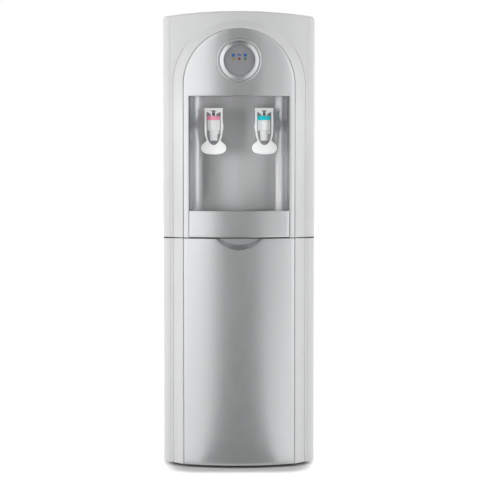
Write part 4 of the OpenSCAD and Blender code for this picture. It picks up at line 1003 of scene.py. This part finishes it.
class COOLER_OT_taps(bpy.types.Operator):
    """The two taps: barrel, spout, shank through the liner, collar and return spring"""

    bl_idname = "cooler.taps"
    bl_label = "Taps"

    def execute(self, context):
        # How far the niche's back lies behind the taps' axes
        wall = FRONT_Y + size("niche_depth") - TAP_Y
        for side, name, slot in ((-1, "hot", "pink_plastic"), (1, "cold", "blue_plastic")):
            x = side * size("tap_pitch") / 2
            centre = (x, TAP_Y, 0)
            # Barrel with its spout, the shank through the niche's back, and the curl beside the spout
            body = [(5.5, 704.5), (7.6, 704.5), (7.95, 705), (9.25, 725), (9.8, 725.7), (12.4, 726),
                    (13.2, 726.4), (13.5, 727.2), (13.5, 748.5), (13.2, 749), (0.01, 749), (0.01, 722),
                    (5.5, 722)]
            shank = [(8, -4), (8, wall - 3.3), (10.9, wall - 3.3), (11.8, wall - 2.6), (12, wall - 1.8),
                     (12, wall - 0.3), (8, wall - 0.3), (8, wall + 10), (4.5, wall + 10), (4.5, wall + 20),
                     (0.01, wall + 20), (0.01, -4)]
            curl = [(0.9, 0.3), (1.2, 0), (2.4, 0), (2.7, 0.3), (2.7, 2.3), (2.4, 2.6), (1.2, 2.6), (0.9, 2.3)]
            shells = [spin(body, centre, "z", 96, 8), spin(shank, (x, TAP_Y + 8, 738), "rear", 48),
                      spin(curl, (x + 9.8, TAP_Y - 2, 722.4), "front", 32)]
            dress(name + "_tap", join(*shells), "white_plastic", "cabinet", [name + "_tap_body"], 50)
            ring = [(11.7, 749.05), (13.7, 749.05), (14.1, 749.4), (14.2, 750), (14.2, 756.8), (14, 757.4),
                    (13.6, 757.7), (11.7, 757.7)]
            dress(name + "_band", spin(ring, centre, "z", 96, 8), slot, "cabinet", [name + "_collar"], 50)
            low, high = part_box(name + "_spring")
            coil_r, wire_r = 6.5, 0.6
            made = dress(name + "_return_spring", coil(x, TAP_Y, low.z * MM, high.z * MM, coil_r, wire_r),
                         "stainless_steel", "cabinet", [name + "_spring"])
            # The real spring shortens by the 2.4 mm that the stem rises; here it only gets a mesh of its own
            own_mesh(made)
        return {"FINISHED"}


class COOLER_OT_top_cover(bpy.types.Operator):
    """The crowned top cover behind the front moulding"""

    bl_idname = "cooler.top_cover"
    bl_label = "Top cover"

    def execute(self, context):
        low, edge, front_edge = PANEL_TOP + 0.3, 2.5, 0.6
        across = [HALF_W * math.cos(math.pi * k / 96) for k in range(97)]
        loop = [(-HALF_W, low), (HALF_W, low)] + [(x, crown_z(x)) for x in across]
        rows = [(PANEL_Y + front_edge * (1 - math.cos(a)), front_edge * (1 - math.sin(a)))
                for a in (0, 0.5, 1, math.pi / 2)]
        rows += [(REAR_Y - edge * (1 - math.cos(a)), edge * (1 - math.sin(a)))
                 for a in (math.pi / 2, 1.2, 0.8, 0.4, 0)]
        rings = [[(x, y, z) for x, z in inset(loop, i)] for y, i in rows]
        dress("crowned_cover", loft(rings), "white_plastic", "cabinet", ["top_cover"])
        return {"FINISHED"}


class COOLER_OT_panel_screws(bpy.types.Operator):
    """Cross-head screws round the rear panel"""

    bl_idname = "cooler.panel_screws"
    bl_label = "Rear panel screws"

    def execute(self, context):
        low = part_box("rear_panel")[0].z * MM
        places = [(s * (HALF_W - 8), z) for s in (-1, 1) for z in (low + 12, 440, 640, 820, PANEL_TOP - 10)]
        places += [(x, low + 10) for x in (-60, 0, 75)]
        shells, slot_half, slot_deep = [], 0.42, 0.7
        for x, z in places:
            rings = []
            for r in (3.6, 3.55, 3.3, 2.8, 2.2, 1.9, 1.5, 1.1, 0.7, 0.3):
                rise = 1.5 * math.sqrt(max(0, 1 - (r / 3.65) ** 2))
                row = []
                for k in range(48):
                    u, v = r * math.cos(math.pi * k / 24), r * math.sin(math.pi * k / 24)
                    cut = slot_deep if r < 2 and min(abs(u), abs(v)) < slot_half else 0
                    row.append((x + u, REAR_Y + rise - cut, z + v))
                rings.append(row)
            shells.append(loft(rings))
        dress("panel_screws", join(*shells), "galvanised_steel", "cabinet")
        return {"FINISHED"}


class COOLER_OT_finishes(bpy.types.Operator):
    """Finishes of the CAD nodes that show as they are"""

    bl_idname = "cooler.finishes"
    bl_label = "CAD finishes"

    def execute(self, context):
        slots = {part["node"]: part["material_slot"] for part in frame["record"]["subparts"]}
        for name, node in frame["nodes"].items():
            if node.hide_render:
                continue
            node.data.materials.clear()
            node.data.materials.append(finish(slots[name]))
        return {"FINISHED"}


# The studio


def stage_mesh(name, corners, material):
    mesh = bpy.data.meshes.new(name)
    mesh.from_pydata(corners, [], [list(range(len(corners)))])
    mesh.materials.append(material)
    made = bpy.data.objects.new(name, mesh)
    bpy.context.scene.collection.objects.link(made)
    return made


def reflected(name, corners, material, lights=False):
    """A card or screen that shows in the gloss, and may also throw its light back."""
    made = stage_mesh(name, corners, material)
    made.visible_camera = made.visible_shadow = False
    made.visible_diffuse = lights


def upright(start, end, low, high):
    """The corners of an upright rectangle over a line on the floor."""
    return [(*start, low), (*end, low), (*end, high), (*start, high)]


def card(name, colour):
    """Matt card of one colour."""
    made, tree, _ = new_material(name)
    shade(tree, {"Base Color": linear(colour), "Roughness": 1.0}, {})
    return made


def screen(name, strength):
    """A screen lit from behind."""
    made, tree, _ = new_material(name)
    lit = add(tree, "ShaderNodeEmission", {"Strength": strength})
    add(tree, "ShaderNodeOutputMaterial", None, {"Surface": lit.outputs[0]})
    return made


def softbox(name, place, aim, width, height, power):
    light = bpy.data.lights.new(name, "AREA")
    light.shape = "RECTANGLE"
    light.size, light.size_y, light.energy = width, height, power
    made = bpy.data.objects.new(name, light)
    made.location = place
    made.rotation_euler = (Vector(aim) - Vector(place)).to_track_quat("-Z", "Y").to_euler()
    bpy.context.scene.collection.objects.link(made)
    return made


class COOLER_OT_stage(bpy.types.Operator):
    """White floor and surround, cards and screens that the camera sees only in the gloss, and lamps"""

    bl_idname = "cooler.stage"
    bl_label = "Studio and camera"

    def execute(self, context):
        scene = context.scene
        world = bpy.data.worlds.new("white_surround")
        world.use_nodes = True
        tree = world.node_tree
        tree.nodes.clear()
        ray = add(tree, "ShaderNodeLightPath")
        seen = add(tree, "ShaderNodeMath", {"operation": "MAXIMUM"},
                   {0: ray.outputs["Is Camera Ray"], 1: ray.outputs["Is Glossy Ray"]})
        seen = add(tree, "ShaderNodeMath", {"operation": "MAXIMUM"},
                   {0: seen.outputs[0], 1: ray.outputs["Is Transmission Ray"]})
        plain = add(tree, "ShaderNodeBackground", {"Color": (1, 1, 1, 1), "Strength": 0.7})
        bright = add(tree, "ShaderNodeBackground", {"Color": (1, 1, 1, 1), "Strength": 1.0})
        mix = add(tree, "ShaderNodeMixShader", None,
                  {0: seen.outputs[0], 1: plain.outputs[0], 2: bright.outputs[0]})
        add(tree, "ShaderNodeOutputWorld", None, {"Surface": mix.outputs[0]})
        scene.world = world

        # The floor is lifted to white all round, but keeps the shadow within these distances of the middle
        shadow_x, shadow_y = 0.174, 0.232
        floor, tree, place = new_material("white_studio_floor")
        ray = add(tree, "ShaderNodeLightPath")
        around = add(tree, "ShaderNodeMapping", {"Scale": (1 / shadow_x, 1 / shadow_y, 1)}, {"Vector": place})
        away = add(tree, "ShaderNodeSeparateXYZ", None, {0: around.outputs[0]})
        powers = [add(tree, "ShaderNodeMath", {"operation": "POWER", 1: 6.0}, {0: away.outputs[i]}).outputs[0]
                  for i in (0, 1)]
        total = add(tree, "ShaderNodeMath", {"operation": "ADD"}, {0: powers[0], 1: powers[1]})
        reach = add(tree, "ShaderNodeMath", {"operation": "POWER", 1: 1 / 6}, {0: total.outputs[0]})
        fade = add(tree, "ShaderNodeMapRange", {"interpolation_type": "SMOOTHSTEP", "From Min": 0.8,
                                                "From Max": 1.0, "To Max": 0.7}, {"Value": reach.outputs[0]})
        seen = add(tree, "ShaderNodeMath", {"operation": "MULTIPLY_ADD", 1: 0.35},
                   {0: ray.outputs["Is Glossy Ray"], 2: ray.outputs["Is Camera Ray"]})
        lift = add(tree, "ShaderNodeMath", {"operation": "MULTIPLY"}, {0: fade.outputs[0], 1: seen.outputs[0]})
        matt = add(tree, "ShaderNodeBsdfDiffuse", {"Color": (0.8, 0.8, 0.8, 1)})
        glow = add(tree, "ShaderNodeEmission", None, {"Strength": lift.outputs[0]})
        both = add(tree, "ShaderNodeAddShader", None, {0: matt.outputs[0], 1: glow.outputs[0]})
        add(tree, "ShaderNodeOutputMaterial", None, {"Surface": both.outputs[0]})
        stage_mesh("studio_floor", [(-9, -9, 0), (9, -9, 0), (9, 9, 0), (-9, 9, 0)], floor)

        grey, dark = card("grey_studio_card", "#969696"), card("dark_studio_card", "#5C5C5C")
        black = card("black_studio_card", "#1A1A1A")
        white, dim = screen("white_studio_screen", 1.15), screen("dim_studio_screen", 0.5)
        reflected("upright_card", upright((-1.2, -4.2), (1.3, -4.2), 0, 2.6), grey, True)
        reflected("lying_card", [(-1.1, -4.2, 0.004), (1.2, -4.2, 0.004), (0.1, -0.185, 0.004),
                                 (-0.1, -0.185, 0.004)], grey)
        reflected("overhead_card", [(-1.1, -3.4, 2.6), (1.1, -3.4, 2.6), (1.1, 0.2, 2.6), (-1.1, 0.2, 2.6)],
                  dark, True)
        # The polished niche shows a lit card behind the camera, and a dark patch and post just before it
        reflected("camera_patch", upright((-0.03, -0.2), (0.02, -0.2), 0.67, 0.775), black)
        reflected("niche_card", upright((-0.14, -3.9), (0.34, -3.9), 0.1, 0.85), dim)
        reflected("post", upright((-0.081, -0.2), (-0.063, -0.2), 0.58, 0.765), black)
        reflected("left_screen", upright((-1.35, -4.0), (-3.2, -1.0), 0.01, 2.4), white)
        reflected("right_screen", upright((2.3, -2.87), (3.2, -1.6), 0.01, 2.4), white)
        reflected("dim_right_screen", upright((1.5, -4.0), (2.3, -2.87), 0.01, 2.4), dim)

        left = softbox("left_softbox", (-3.1, -1.2, 0.9), (0, 0, 0.5), 1.2, 2.2, 40)
        right = softbox("right_softbox", (3.1, -1.4, 0.9), (0, 0, 0.5), 1.2, 2.2, 30)
        softbox("rear_softbox", (0.6, 3.2, 2.2), (0, 0, 0.5), 2.0, 2.0, 30)
        niche = softbox("niche_softbox", (-0.2, -3.0, 0.3), (0, -0.1, 0.735), 0.1, 0.1, 0.055)
        niche.data.spread = math.radians(6)
        low_niche = softbox("low_niche_softbox", (0.05, -3.0, 0.75), (0, -0.06, 0.6), 0.1, 0.1, 0.025)
        low_niche.data.spread = math.radians(4)
        for light in (left, right, niche, low_niche):
            light.visible_glossy = False

        # At the height of the niche, turned a little down and to the right
        camera = bpy.data.cameras.new("photo_camera")
        camera.lens, camera.sensor_width = 112.7, 36
        camera.shift_y = -0.0605
        view = bpy.data.objects.new("photo_camera", camera)
        view.location = (-0.045, FRONT_Y / MM - 3.2, 0.717)
        view.rotation_euler = (math.radians(90 - 2.9), 0, math.radians(-0.832))
        scene.collection.objects.link(view)
        scene.camera = view
        scene.view_settings.view_transform = "Standard"
        return {"FINISHED"}


STEPS = (
    COOLER_OT_upper_frame, COOLER_OT_door, COOLER_OT_fascia, COOLER_OT_control_cluster,
    COOLER_OT_niche, COOLER_OT_drip_tray, COOLER_OT_taps, COOLER_OT_levers, COOLER_OT_top_cover,
    COOLER_OT_panel_screws, COOLER_OT_finishes, COOLER_OT_stage,
)


class COOLER_PT_sidebar(bpy.types.Panel):
    """The steps that build the cooler, with its sizes and colours"""

    bl_idname = "COOLER_PT_sidebar"
    bl_label = "Water cooler"
    bl_space_type = "VIEW_3D"
    bl_region_type = "UI"
    bl_category = "Cooler"

    def draw(self, context):
        layout = self.layout
        for group in (context.scene.cooler_sizes, context.scene.cooler_colours):
            column = layout.column(align=True)
            for name in group.bl_rna.properties.keys():
                if name not in ("rna_type", "name"):
                    column.prop(group, name)
        for step in STEPS:
            layout.operator(step.bl_idname)


CLASSES = (CoolerSizes, CoolerColours, *STEPS, COOLER_PT_sidebar)


def register():
    for cls in CLASSES:
        bpy.utils.register_class(cls)
    bpy.types.Scene.cooler_sizes = PointerProperty(type=CoolerSizes)
    bpy.types.Scene.cooler_colours = PointerProperty(type=CoolerColours)


def unregister():
    del bpy.types.Scene.cooler_colours
    del bpy.types.Scene.cooler_sizes
    for cls in reversed(CLASSES):
        bpy.utils.unregister_class(cls)


def main():
    register()
    for step in STEPS:
        group, name = step.bl_idname.split(".")
        getattr(getattr(bpy.ops, group), name)()
    bpy.context.view_layer.update()


if __name__ == "__main__":
    main()
